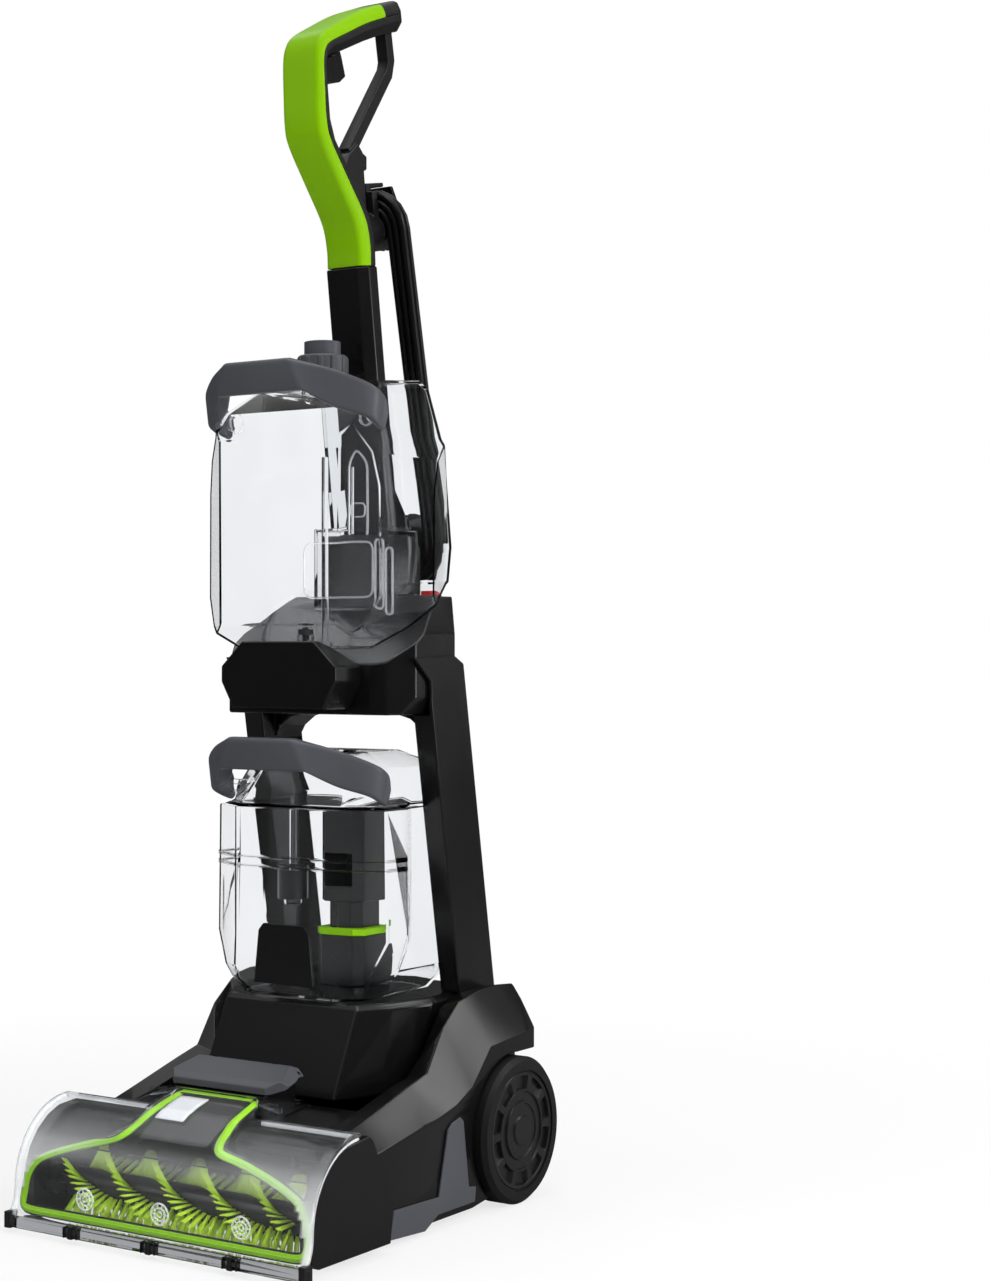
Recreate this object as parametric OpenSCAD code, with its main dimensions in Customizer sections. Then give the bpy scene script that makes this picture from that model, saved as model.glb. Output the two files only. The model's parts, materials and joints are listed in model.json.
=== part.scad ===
// Upright carpet cleaner: a wheeled foot with a brush roll, a reclining upright with two
// lift-off tanks, and a looped handle. Front is -Y, the floor is z = 0, and the origin is
// the middle of the foot on the floor.

/* [Foot] */
// Length from the front lip to the back of the wheels
foot_len = 416; // [400:1:430]
// Outer face of the side cheeks, from the middle
foot_half = 152; // [148:0.5:158]
// How far the window stands outside the cheeks
window_over = 4; // [3:0.5:6]
// How far the side walls stand inside the cheeks
side_in = 12; // [10:0.5:14]
// Height of the crest of the side rails where they meet the cheeks
rail_z = 97; // [92:0.5:100]
// Height of the flat top of the wheel arches
arch_z = 194; // [188:0.5:196]
// Underside of the foot above the floor
ground_gap = 8; // [6:0.5:10]
// Thickness of the moulded walls
wall = 2.5; // [2:0.1:3.2]

/* [Wheels] */
// Radius of the rear wheels
wheel_r = 66; // [62:0.5:68]
// Width of the tyre
wheel_w = 26; // [20:0.5:27]
// Radial thickness of the tyre
tyre_t = 12; // [8:0.5:16]
// Number of recesses round the rim
rim_recesses = 8; // [5:1:12]
// Radius of the wheel axles
axle_r = 4; // [3:0.25:5]

/* [Nozzle] */
// Height of the middle of the window's curve
nose_z = 38; // [34:0.5:42]
// Depth of the window's curve, front to back
nose_ry = 66; // [62:0.5:70]
// Rise of the window's curve
nose_rz = 68; // [66:0.5:72]
// Thickness of the clear window
window_t = 2.4; // [2:0.1:3]
// Air gap between the window and the inner hood
duct_gap = 6; // [5:0.5:7]
// Half-width of the window's neck
neck_half = 42; // [38:0.5:46]
// Width of the green gasket
gasket_w = 4; // [3:0.5:6]
// Radius over the bristles
brush_r = 36; // [34:0.5:37]
// Radius of the brush core
core_r = 13; // [11:0.5:18]
// Radius of the brush shaft
brush_shaft_r = 4; // [3:0.25:5]
// Distance along the roll between one row of bristles and the next
row_pitch = 52; // [40:1:64]
// Bristle tufts in each spiral
tufts = 30; // [20:1:40]

/* [Motor box] */
// Half-width of the motor box
box_half = 100; // [96:0.5:102]
// Height of the shelf that carries the lower tank
shelf_z = 190; // [186:0.5:192]
// Radius of the vacuum motor
motor_r = 48; // [42:0.5:50]
// Radius of the fan
fan_r = 44; // [36:0.5:46]
// Radius of the recline bushes
bush_r = 12; // [10:0.5:14]

/* [Pillars and housing] */
// Forward lean of the pillars, in degrees
pillar_lean = 10.3; // [9.5:0.1:11]
// Width of a pillar
pillar_w = 20.5; // [18:0.5:22]
// Front to back depth of a pillar
pillar_d = 60; // [54:0.5:62]
// Underside of the carry housing
housing_z = 441; // [438:0.5:445]
// Height of the flat top at the back of the carry housing
housing_top = 547; // [543:0.5:550]
// Half-width of the carry handle
carry_half = 62; // [58:0.5:66]
// Thickness of the carry handle's bar, front to back
carry_t = 20; // [17:0.5:21]

/* [Lower tank] */
// Half-width of the lower tank
low_half = 93; // [90:0.5:96]
// Half-width of its front face
low_front = 56; // [52:0.5:60]
// Height at which the lid begins
lid_z = 358; // [350:0.5:360]
// Height of the top of the lid
lid_top = 407; // [402:0.5:409]
// Thickness of the tank walls
tank_wall = 2.4; // [2:0.1:3]
// Width of the separator stack
stack_w = 46; // [42:0.5:46]
// Radius of the float
float_r = 14; // [10:0.5:15]

/* [Upper tank] */
// Half-width of the upper tank
up_half = 94; // [91:0.5:97]
// Half-width of its front face
up_front = 62; // [58:0.5:66]
// Height of the top of the upper tank
up_top = 742; // [738:0.5:746]
// Radius of the filler neck
neck_r = 18; // [15:0.5:20]
// Radius of the cap's skirt
cap_r = 22.5; // [21:0.5:25]
// Radius of the cap's raised grip
cap_grip_r = 16.5; // [13:0.5:18]

/* [Bails] */
// Half-width over the bails
bail_half = 91; // [89:0.5:94]
// Half-width of a bail's front bar
bail_front = 35; // [30:0.5:40]
// Height of a bail's section
bail_h = 28; // [24:0.5:32]
// Radius of the bail pins
bail_pin_r = 4; // [3:0.25:5]

/* [Tube and handle] */
// Forward lean of the tube, in degrees
tube_lean = 8; // [7.5:0.1:8.5]
// Half-width of the tube
tube_half = 23; // [21:0.5:25]
// Depth of the tube
tube_d = 30; // [28:0.5:31]
// Greatest half-width of the handle
grip_half = 21.5; // [20:0.5:23]
// Half-width of the strut
strut_half = 6; // [5:0.5:8]
// Thickness of the strut
strut_t = 12; // [9:0.5:14]
// Radius of the trigger's pivot pin
trigger_pin_r = 2.5; // [2:0.25:3]

/* [Mains lead] */
// Diameter of the mains lead
lead_d = 6.8; // [6.8:0.1:6.9]
// Radius of the upper hub that the lead is wound round
hub_r = 18; // [17:0.5:19]
// Radius of the lower hub
low_hub_r = 24; // [22:0.5:25]
// Radius of the pin that the upper hook turns on
hook_pin_r = 5; // [4:0.25:6]
// Distance between the upper and lower hub
hub_span = 291; // [286:0.5:293]

/* [Fits] */
// Radial clearance of a pin or shaft in its bore
run = 0.05; // [0.03:0.01:0.09]
// Gap between pieces that move past each other
slip = 0.5; // [0.4:0.05:0.7]
// Gap between pieces that sit on each other
seat = 0.3; // [0.25:0.05:0.35]

/* [Hidden] */
$fn = 64;
black = [0.05, 0.05, 0.055];
charcoal = [0.16, 0.16, 0.17];
grey = [0.33, 0.34, 0.37];
lime = [0.5, 0.75, 0.05];
clear = [0.85, 0.87, 0.9, 0.35];
smoke = [0.25, 0.25, 0.27, 0.6];
steel = [0.7, 0.7, 0.72];
far = 260;

// Foot
front_y = -foot_len / 2;
axle_y = foot_len / 2 - wheel_r;
axle_z = wheel_r;
window_half = foot_half + window_over;
side_half = foot_half - side_in;
rail_inner = box_half + 5.2;
crest_x = side_half - 14;
face_x = side_half + 10;
tyre_in = face_x - wheel_w;
well_r = wheel_r + 3;
pan_t = 3;
nose_y = front_y + 14 + nose_ry;
brush_y = nose_y - 23;
brush_z = brush_r + 2;
chamber_y = nose_y + 16;
deck_z = nose_z + nose_rz - 5;

// Hose port and the duct under its door
port_r = 18;
port_y = -92;
door_half = 61;
door_z = 132;
duct_half = neck_half + 6;
duct_floor = 92;

// Motor box and pillars
cover_y = 74;
deck_top = 112;
box_back = 183;
motor_y = box_back - 57;
arm_in = box_half + 0.5;
pillar_out = box_half + 4.5;
pillar_in = pillar_out - pillar_w;
pillar_t0 = -11;
pillar_t1 = pillar_t0 + pillar_d;
pillar_s0 = 132;
pillar_top = 430;

// Tank seats and housing
stack_y = 90;
tank_z = shelf_z + seat;
housing_front = 14;
housing_back = 158;
carry_front = housing_front - 22 - carry_t;
switch_x = 50;
switch_y = housing_back - 12;

// Socket that holds the tube's foot on top of the housing
tower_half = 36;
tower_y = 95;
tower_z = 604;
tower_side = [[tower_y, housing_top - 12], [150, housing_top - 1], [150, tower_z - 14], [136, tower_z],
  [tower_y + 6, tower_z], [tower_y, tower_z - 6]];

// Tube, handle and winding
tube_y = 86.7;
tube_z = 851;
strand = lead_d + 0.02;
winding_w = 3 * strand;
winding_t = 2 * strand;
hook_room = 26;
wind_lean = 10.5;
wind_y = 116.4;
wind_z = 886;

// Route of the free stretch of the lead, from its strain relief to the winding
lead_path = [[-46, 146, 577], [-46, 146, 590], [-45, 146, 604], [-43, 146, 618],
  [-40, 146, 632], [-36.5, 146.3, 646], [-33, 147.2, 660], [-29.6, 148.3, 674], [-27, 149.2, 688],
  [-26, 146.8, 702], [-25.4, 144.2, 716], [-25.2, 142, 728]];

function unit(v) = v / norm(v);
// Outline moved inwards by d, its points running anticlockwise
function inset(p, d) = let (n = len(p)) [for (i = [0:n - 1])
  let (a = p[(i + n - 1) % n], b = p[i], c = p[(i + 1) % n], u = unit(b - a), v = unit(c - b),
       nu = [-u[1], u[0]], nv = [-v[1], v[0]]) b + d * (nu + nv) / (1 + nu * nv)];
// Closed outline from the points of its +X half
function both(half) = concat(half, [for (i = [len(half) - 1:-1:0]) [-half[i][0], half[i][1]]]);
function mix(a, b, k) = a + (b - a) * k;
// Point on the window's curve, moved inwards by d, at angle a from the front
function nose(a, d) = [nose_y - (nose_ry - d) * cos(a), nose_z + (nose_rz - d) * sin(a)];

module along_x(points, x0, x1) {
  translate([x0, 0, 0]) rotate([90, 0, 90]) linear_extrude(x1 - x0) polygon(points);
}
module along_y(points, y0, y1) {
  translate([0, y1, 0]) rotate([90, 0, 0]) linear_extrude(y1 - y0) polygon(points);
}
module along_z(points, z0, z1) {
  translate([0, 0, z0]) linear_extrude(z1 - z0) polygon(points);
}
module rod_x(y, z, r, x0, x1) {
  translate([x0, y, z]) rotate([0, 90, 0]) cylinder(r = r, h = x1 - x0);
}
module block(a, b) {
  translate(a) cube(b - a);
}
module pair() {
  children();
  mirror([1, 0, 0]) children();
}
// Space bounded by a side, a plan and a front outline, each moved inwards by d
module blank(side, plan, front, d = 0) {
  intersection() {
    along_x(inset(side, d), -far, far);
    along_z(inset(plan, d), 0, 1200);
    along_y(inset(front, d), -far, far);
  }
}
// Skin through rings of points, each ring flat and of equal count
module loft(rings) {
  n = len(rings[0]);
  m = len(rings);
  side = [for (i = [0:m - 2], j = [0:n - 1]) each [
    [i * n + j, (i + 1) * n + (j + 1) % n, i * n + (j + 1) % n],
    [i * n + j, (i + 1) * n + j, (i + 1) * n + (j + 1) % n]]];
  caps = [[for (j = [0:n - 1]) j], [for (j = [n - 1:-1:0]) (m - 1) * n + j]];
  polyhedron([for (r = rings) each r], concat(side, caps), convexity = 8);
}
// Frame whose Z runs up the lean of the pillars from the axle
module leaned() {
  translate([0, axle_y, axle_z]) rotate([pillar_lean, 0, 0]) children();
}
// Frame on the middle of the tube, its Z along the tube
module on_tube() {
  translate([0, tube_y, tube_z]) rotate([tube_lean, 0, 0]) children();
}
// Frame of the winding: Z along the axis of the hubs, Y up the winding
module on_winding() {
  translate([0, wind_y, wind_z]) rotate([wind_lean, 0, 0]) rotate([-90, 180, 0]) children();
}

// ---- Foot ----

// Crest, outer edge and inner edge heights of a rail at stations along Y
rail_stations = [
  [chamber_y, rail_z + 3, rail_z - 15, rail_z + 2],
  [-98, rail_z + 5, rail_z - 15, rail_z + 4],
  [-75, rail_z + 11, rail_z - 15, rail_z + 9],
  [-9, rail_z + 29, rail_z - 4, rail_z + 25],
  [19, rail_z + 36, rail_z, rail_z + 30],
  [45, arch_z - 25, rail_z + 6, arch_z - 47],
  [72, arch_z - 5, rail_z + 18, arch_z - 14],
  [103, arch_z, arch_z - 48, arch_z - 4],
  [137, arch_z + 2, arch_z - 45, arch_z - 2],
  [164, arch_z, arch_z - 43, arch_z - 6],
  [180, arch_z - 16, arch_z - 41, arch_z - 22]];
function rail_bottom(y) = y < 100 ? ground_gap : mix(ground_gap + 4, 100, max(0, y - 137) / 43);
function rail_ring(s, d, drop) = [
  [rail_inner + d, s[0], s[3] - d], [crest_x - d * 0.4, s[0], s[1] - d * 1.2],
  [side_half - d, s[0], s[2] - d], [side_half - d, s[0], rail_bottom(s[0]) - drop],
  [rail_inner + d, s[0], rail_bottom(s[0]) - drop]];
tail_z = 2 * axle_z + 2.5;
module rail_outer() {
  difference() {
    loft([for (s = rail_stations) rail_ring(s, 0, 0)]);
    block([tyre_in - 4, axle_y, 0], [side_half + 1, axle_y + 60, tail_z]);
  }
}
module rail_cavity() {
  n = len(rail_stations);
  difference() {
    loft([for (i = [0:n - 1]) let (s = rail_stations[i],
      y = s[0] + (i == 0 ? wall : i == n - 1 ? -wall : 0))
      rail_ring([y, s[1], s[2], s[3]], wall, i > 6 ? -wall : 20)]);
    block([tyre_in - 4 - wall, axle_y - 4, 0], [side_half + 1, axle_y + 60, tail_z + wall]);
  }
}
module rail() {
  difference() {
    union() {
      difference() {
        rail_outer();
        rail_cavity();
      }
      intersection() {
        rail_outer();
        rod_x(axle_y, axle_z, well_r + wall, tyre_in - 4 - wall, side_half);
      }
    }
    rod_x(axle_y, axle_z, well_r, tyre_in - 4, side_half + 10);
    rod_x(axle_y, axle_z, bush_r, rail_inner - 1, tyre_in);
  }
}
module base_shell() {
  color(black) difference() {
    union() {
      pair() rail();
      block([-rail_inner - wall, chamber_y, ground_gap], [rail_inner + wall, 78, ground_gap + pan_t]);
      block([-side_half + 1, chamber_y, ground_gap], [side_half - 1, chamber_y + wall, deck_z - 2]);
      block([-side_half, nose_y + 1, deck_z - 3], [side_half, chamber_y + 1, deck_z]);
      along_x([[nose_y + 1, deck_z - 3], [chamber_y + 16, deck_z - 3], [-44, 104], [-44, 107],
        [chamber_y + 16, deck_z], [nose_y + 1, deck_z]], -rail_inner - wall, rail_inner + wall);
      block([-rail_inner - wall, -46.5, ground_gap], [rail_inner + wall, -44, 104]);
    }
    for (x = [-80, 0, 80], y = [-70, 60]) translate([x, y, 0]) cylinder(r = 2, h = 20, $fn = 24);
    block([-duct_half - seat, nose_y - 1, duct_floor - seat], [duct_half + seat, -46.5, 140]);
    block([-neck_half + 4 - seat, -48, duct_floor + 1.5], [neck_half - 4 + seat, -43, 140]);
    block([belt_x - 2, nose_y - 5, brush_z - 24], [belt_x + 10, chamber_y + 5, brush_z + 30]);
    rod_x(motor_axis_y, motor_axis_z, 12, 100, 112);
  }
}

gasket_t = 1.5;
cheek_arc = [for (a = [0:15:75]) nose(a, window_t + gasket_t + 0.4)];
cheek_side = concat([[front_y + 30, ground_gap + 1], [axle_y - 218, ground_gap + 1],
  [axle_y - 215, 32], [axle_y - 217, 49], [axle_y - 244, 99], [axle_y - 250, deck_z + 2]],
  [for (i = [len(cheek_arc) - 1:-1:0]) cheek_arc[i]], [[front_y + 19, ground_gap + 6]]);
module side_cheeks() {
  color(black) pair() difference() {
    along_x(cheek_side, side_half + seat, foot_half);
    along_x(inset(cheek_side, wall), side_half - 1, foot_half - wall);
  }
}

skirt_side = [[-62, 7], [-8, 4], [13, 14], [73, 14], [75, 27], [63, 29], [54, 88], [49, 92], [36, 89],
  [29, 84], [14, 29], [-56, 31]];
module side_skirts() {
  color(grey) pair() difference() {
    along_x(skirt_side, side_half + 0.05, side_half + 2);
    rod_x(axle_y, axle_z, well_r, side_half - 1, side_half + 5);
  }
}

module wheel_axles() {
  color(steel) pair() union() {
    rod_x(axle_y, axle_z, axle_r, box_half - 14, face_x - 6);
    rod_x(axle_y, axle_z, axle_r + 3, face_x - 6, face_x - 4);
  }
}

module hinge_bushes() {
  color(charcoal) pair() difference() {
    union() {
      rod_x(axle_y, axle_z, bush_r, box_half - 12, rail_inner + wall);
      rod_x(axle_y, axle_z, bush_r + 6, rail_inner + wall, rail_inner + wall + 4);
    }
    rod_x(axle_y, axle_z, axle_r, box_half - 13, rail_inner + wall + 5);
  }
}

hood_d = window_t + duct_gap;
hood_arc = [for (a = [38:11.5:84]) nose(a, hood_d)];
module brush_hood() {
  color(smoke) union() {
    along_x(concat(hood_arc, [[nose_y + 8, nose_z + nose_rz - hood_d], [nose_y + 8, nose_z + nose_rz - hood_d - 2]],
      [for (i = [len(hood_arc) - 1:-1:0]) hood_arc[i] + [1.2, -1.6]]), -side_half + 2, side_half - 2);
    block([-duct_half + 6, nose_y + 7.9, duct_floor - 2.5], [duct_half - 6, chamber_y - 0.1, duct_floor - seat]);
    block([-duct_half + 6, nose_y + 7, duct_floor - 2.5], [duct_half - 6, nose_y + 8, deck_z - 3.5]);
  }
}

motor_axis_y = chamber_y + 34;
motor_axis_z = 52;
belt_x = side_half - 11;
module brush_motor() {
  color(steel) difference() {
    union() {
      rod_x(motor_axis_y, motor_axis_z, 25, 10, 96);
      rod_x(motor_axis_y, motor_axis_z, 10, 96, 104);
      block([20, motor_axis_y - 14, ground_gap + pan_t], [72, motor_axis_y + 14, motor_axis_z - 10]);
    }
    rod_x(motor_axis_y, motor_axis_z, 3 + run, 70, 105);
  }
}
module motor_pulley() {
  color(steel) union() {
    rod_x(motor_axis_y, motor_axis_z, 3, 74, belt_x + 8);
    rod_x(motor_axis_y, motor_axis_z, 8, belt_x, belt_x + 6);
    rod_x(motor_axis_y, motor_axis_z, 11, belt_x + 6, belt_x + 7.5);
  }
}
// Closed outline drawn tight round two circles, each arc in n steps
function round_two(c1, r1, c2, r2, n) = let (d = c1 - c2, base = atan2(d[1], d[0]),
  lean = acos((r2 - r1) / norm(d)))
  concat([for (i = [0:n]) c1 + r1 * [cos(base + mix(-lean, lean, i / n)), sin(base + mix(-lean, lean, i / n))]],
    [for (i = [0:n]) c2 + r2 * [cos(base + mix(lean, 360 - lean, i / n)),
      sin(base + mix(lean, 360 - lean, i / n))]]);
module drive_belt() {
  a = [brush_y, brush_z];
  b = [motor_axis_y, motor_axis_z];
  color(black) difference() {
    along_x(round_two(a, 17.4, b, 10.4, 16), belt_x + 1, belt_x + 5.5);
    along_x(round_two(a, 15.4, b, 8.4, 16), belt_x, belt_x + 6);
  }
}
module brush_bearings() {
  color(charcoal) pair() difference() {
    rod_x(brush_y, brush_z, 13, side_half + 2, foot_half - wall);
    rod_x(brush_y, brush_z, brush_shaft_r + run, side_half + 1, foot_half - wall - 2);
  }
}

module spray_bar() {
  color(charcoal) union() {
    rod_x(chamber_y - 6, deck_z - 18, 5, -110, 110);
    for (x = [-84, 0, 84]) translate([x, chamber_y - 6, deck_z - 30]) cylinder(r = 4, h = 10);
    for (x = [-100, 100]) block([x - 4, chamber_y - 4, deck_z - 22], [x + 4, chamber_y, deck_z - 14]);
  }
}

door_hinge = [-71, door_z + 6];
lug_x = 30;
roof = [[-112, deck_z + 6], [-66, deck_z + 6], [-66, door_z - 0.7], [-77.5, door_z - 0.7],
  [-78.7, door_z + 1.5], [-108, door_z - 7], [-112, door_z - 9]];
module foot_duct() {
  color(black) difference() {
    union() {
      difference() {
        union() {
          block([-duct_half, nose_y + 14, duct_floor], [duct_half, -47, deck_z + 6.1]);
          along_x(roof, -duct_half, duct_half);
          block([-neck_half + 4, -47.1, duct_floor + 2], [neck_half - 4, -22, 110]);
        }
        block([-neck_half + 3, nose_y + 10, duct_floor + wall], [neck_half - 3, -50, deck_z + 3.6]);
        along_x([[-116, deck_z], [-69, deck_z], [-69, door_z - 4], [-78, door_z - 4],
          [-108, door_z - 10.5], [-116, door_z - 10.5]], -neck_half + 3, neck_half - 3);
        block([-neck_half + 7, -51, duct_floor + 5], [neck_half - 7, -16, 107]);
      }
      intersection() {
        translate([0, port_y, deck_z + 6]) cylinder(r = port_r + wall, h = 60);
        along_x(roof, -duct_half, duct_half);
      }
      pair() {
        rod_x(door_hinge[0], door_hinge[1], 1.5, lug_x - 5, lug_x + 8);
        rod_x(door_hinge[0], door_hinge[1], 3, lug_x, lug_x + 3);
        block([lug_x, door_hinge[0] - 3, door_z - 1], [lug_x + 3, door_hinge[0] + 3, door_hinge[1]]);
      }
    }
    translate([0, port_y, deck_z]) cylinder(r = port_r, h = 60);
  }
}

module glide_pads() {
  color(grey) for (x = [-90, 90]) translate([x, -88, 0]) cylinder(r = 14, h = ground_gap);
}
module base_screws() {
  color(steel) for (x = [-80, 0, 80], y = [-70, 60]) translate([x, y, 0]) {
    translate([0, 0, ground_gap - 2]) cylinder(r = 3.5, h = 2, $fn = 24);
    translate([0, 0, ground_gap - 2]) cylinder(r = 1.6, h = pan_t + 6, $fn = 24);
  }
}

// ---- Nozzle window ----

window_bottom = 14;
window_back = nose_y + 2;
neck_top = [nose_y + 13.7, 121];
neck_low = nose(50, -1);
function window_line(d) = concat([[front_y + 6 + d, window_bottom]],
  [for (a = [0:10:90]) nose(a, d)], [[window_back, nose_z + nose_rz - d]]);
module window_band(x0, x1) {
  outer = window_line(0);
  inner = window_line(window_t);
  along_x(concat(outer, [for (i = [len(inner) - 1:-1:0]) inner[i]]), x0, x1);
}
neck_in = neck_half - window_t;
module nozzle_window() {
  color(clear) union() {
    difference() {
      window_band(-window_half, window_half);
      block([-neck_in, neck_low[0] + 3, 84], [neck_in, window_back + 1, 120]);
    }
    along_x([neck_low, neck_top, neck_top - [0, window_t], nose(53, 1)], -neck_half, neck_half);
    pair() along_x([neck_low, neck_top, [neck_top[0], nose_z + nose_rz - 1], nose(84, 1), nose(70, 1),
      nose(58, 1)], neck_in, neck_half);
    pair() block([neck_half - 0.1, nose_y - 2, nose_z + nose_rz - 1], [neck_half + 14, nose_y + 10,
      neck_top[1] - 4]);
  }
}
// Half outline of the gasket seen from the front: foot, side, rounded shoulder and S into the neck
gasket_half = [[window_half - 9, 17], [window_half - 4, 22], [window_half - 6, 38],
  [window_half - 14, 58], [window_half - 28, 68], [window_half - 60, 77], [62, 88], [neck_half + 6, 94],
  [neck_in - 0.3, 100], [neck_in - 0.3, 116]];
module window_gasket() {
  outer = window_line(window_t + 0.1);
  inner = window_line(window_t + 0.1 + gasket_t);
  color(lime) intersection() {
    union() {
      difference() {
        along_x(concat(outer, [for (i = [len(inner) - 1:-1:0]) inner[i]]), -far, far);
        block([-neck_in, neck_low[0] + 3, 96], [neck_in, window_back + 20, 200]);
      }
      along_x([nose(54, window_t + 0.2), neck_top - [0, window_t + 0.2], neck_top - [0, window_t + 3],
        nose(54, window_t + 3)], -neck_in + 0.2, neck_in - 0.2);
    }
    difference() {
      along_y(both(gasket_half), -far, far);
      along_y(inset(both(gasket_half), gasket_w), -far - 1, far + 1);
    }
  }
}
module nozzle_lip() {
  color(smoke) union() {
    along_x([[front_y + 8, 5], [front_y + 4, 4], [front_y, 8], [front_y + 1, window_bottom - 0.05],
      [front_y + 9, window_bottom - 0.05]], -window_half, window_half);
    for (x = [-84, 0, 84]) along_x([[front_y + 8, 4.5], [front_y + 0.2, 5], [front_y + 0.2, 13.5],
      [front_y + 8, 13.5]], x - 3, x + 3);
    pair() block([window_half - 5, front_y + 0.5, 4], [window_half + 2, front_y + 9, window_bottom - 0.05]);
  }
}

// ---- Brush ----

core_half = side_half - 14;
spirals = 4;
row_start = 68;
module brush_core() {
  color(charcoal) union() {
    rod_x(brush_y, brush_z, core_r, -core_half, core_half);
    rod_x(brush_y, brush_z, brush_shaft_r, -foot_half + wall + 3, foot_half - wall - 3);
  }
}
module tuft(x, a) {
  translate([x, brush_y, brush_z]) rotate([a, 0, 0]) translate([-2, -1.6, core_r - 0.5])
    cube([4, 3.2, brush_r - core_r + 0.5]);
}
module brush_bristles() {
  color(lime) union() {
    difference() {
      rod_x(brush_y, brush_z, core_r + 1.5, -core_half + 1, core_half - 1);
      rod_x(brush_y, brush_z, core_r + 0.02, -core_half, core_half);
    }
    for (k = [0:spirals - 1], i = [0:tufts - 1])
      let (x = mix(-core_half + 6, core_half - 6, (i + 0.5) / tufts)) difference() {
        tuft(x, row_start + 360 / spirals * (k + x / row_pitch));
        rod_x(brush_y, brush_z, core_r + 0.02, -core_half, core_half);
      }
  }
}
module brush_pulley() {
  color(black) difference() {
    union() {
      rod_x(brush_y, brush_z, 15, belt_x, belt_x + 6);
      rod_x(brush_y, brush_z, 18, belt_x + 6, belt_x + 8);
    }
    rod_x(brush_y, brush_z, brush_shaft_r, belt_x - 1, belt_x + 9);
  }
}

// ---- Wheels ----

rim_r = wheel_r - tyre_t;
module tyre() {
  color(black) translate([tyre_in, axle_y, axle_z]) rotate([0, 90, 0]) rotate_extrude($fn = 96)
    polygon([[rim_r, 0], [wheel_r - 2, 0], [wheel_r, 2], [wheel_r, wheel_w - 4],
      [wheel_r - 4, wheel_w], [rim_r, wheel_w]]);
}
module rim() {
  depth = wheel_w - 2;
  color(charcoal) translate([tyre_in, axle_y, axle_z]) rotate([0, 90, 0]) difference() {
    rotate_extrude($fn = 96) polygon([[axle_r + run, 0], [10, 0], [10, depth - 8],
      [rim_r - 4, depth - 8], [rim_r - 4, 0], [rim_r, 0], [rim_r, depth], [rim_r - 3, depth + 1],
      [rim_r - 6, depth - 1], [rim_r * 0.62, depth - 1], [rim_r * 0.6, depth + 1],
      [rim_r * 0.24, depth + 1], [rim_r * 0.24, depth + 2], [axle_r + 3 + slip, depth + 2],
      [axle_r + 3 + slip, face_x - tyre_in - 6.5], [axle_r + run, face_x - tyre_in - 6.5]]);
    for (i = [0:rim_recesses - 1]) rotate([0, 0, 360 * (i + 0.5) / rim_recesses])
      translate([rim_r * 0.68, -5, depth - 4]) cube([rim_r * 0.2, 10, 8]);
  }
}
module tyre_right() { tyre(); }
module rim_right() { rim(); }
module tyre_left() { mirror([1, 0, 0]) tyre(); }
module rim_left() { mirror([1, 0, 0]) rim(); }

// ---- Hose door ----

module hose_door() {
  color(grey) difference() {
    intersection() {
      along_x([[-112, 125], [-112, 131], [-105, 135], [-76, 145], [-67, 142], [-67, 136], [-75, 135.5],
        [-108, 125]], -door_half - 1, door_half + 1);
      along_z(both([[door_half - 12, -112], [door_half, -98], [door_half, -66]]), 100, 160);
      along_y(both([[door_half - 10, 110], [door_half, 123], [door_half, 133], [door_half - 13, 146]]),
        -far, 0);
    }
    rod_x(door_hinge[0], door_hinge[1], 1.5 + run, -far, far);
    pair() block([lug_x - slip, door_hinge[0] - 5, 120], [lug_x + 3 + slip, door_hinge[0] + 5, 160]);
  }
}

// ---- Motor box ----

box_side = [[22, 60], [50, 24], [box_back - 18, 24], [box_back, 45], [box_back, 165], [box_back - 18, shelf_z],
  [cover_y + 0.2, shelf_z],
  [cover_y + 0.2, deck_top - 0.2], [5, deck_top - 0.2]];
box_plan = [[-box_half, 0], [box_half, 0], [box_half, box_back - 15], [box_half - 15, box_back],
  [-box_half + 15, box_back], [-box_half, box_back - 15]];
box_front = [[-box_half, 20], [box_half, 20], [box_half, shelf_z - 5], [box_half - 5, shelf_z],
  [-box_half + 5, shelf_z], [-box_half, shelf_z - 5]];
module motor_box() {
  color(black) difference() {
    union() {
      difference() {
        blank(box_side, box_plan, box_front);
        blank(box_side, box_plan, box_front, wall);
      }
      pair() rod_x(axle_y, axle_z, bush_r + 6, box_half - 13, box_half - 0.1);
    }
    pair() rod_x(axle_y, axle_z, bush_r + run, box_half - 20, box_half + 1);
    translate([0, stack_y, shelf_z - 10]) cylinder(r = 13.3, h = 20);
    block([-13.3, cover_y - 2, shelf_z - 34.3], [13.3, cover_y + 5, shelf_z - 11.7]);
    block([16, cover_y - 2, deck_top + 4], [28, cover_y + 5, deck_top + 30]);
    block([-40, 4, deck_top - 8], [-20, 20, deck_top + 1]);
    for (x = [-70, 70], z = [60, 140]) translate([x, box_back - 13, z]) rotate([-90, 0, 0])
      cylinder(r = 1.8, h = 20, $fn = 24);
  }
}
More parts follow.
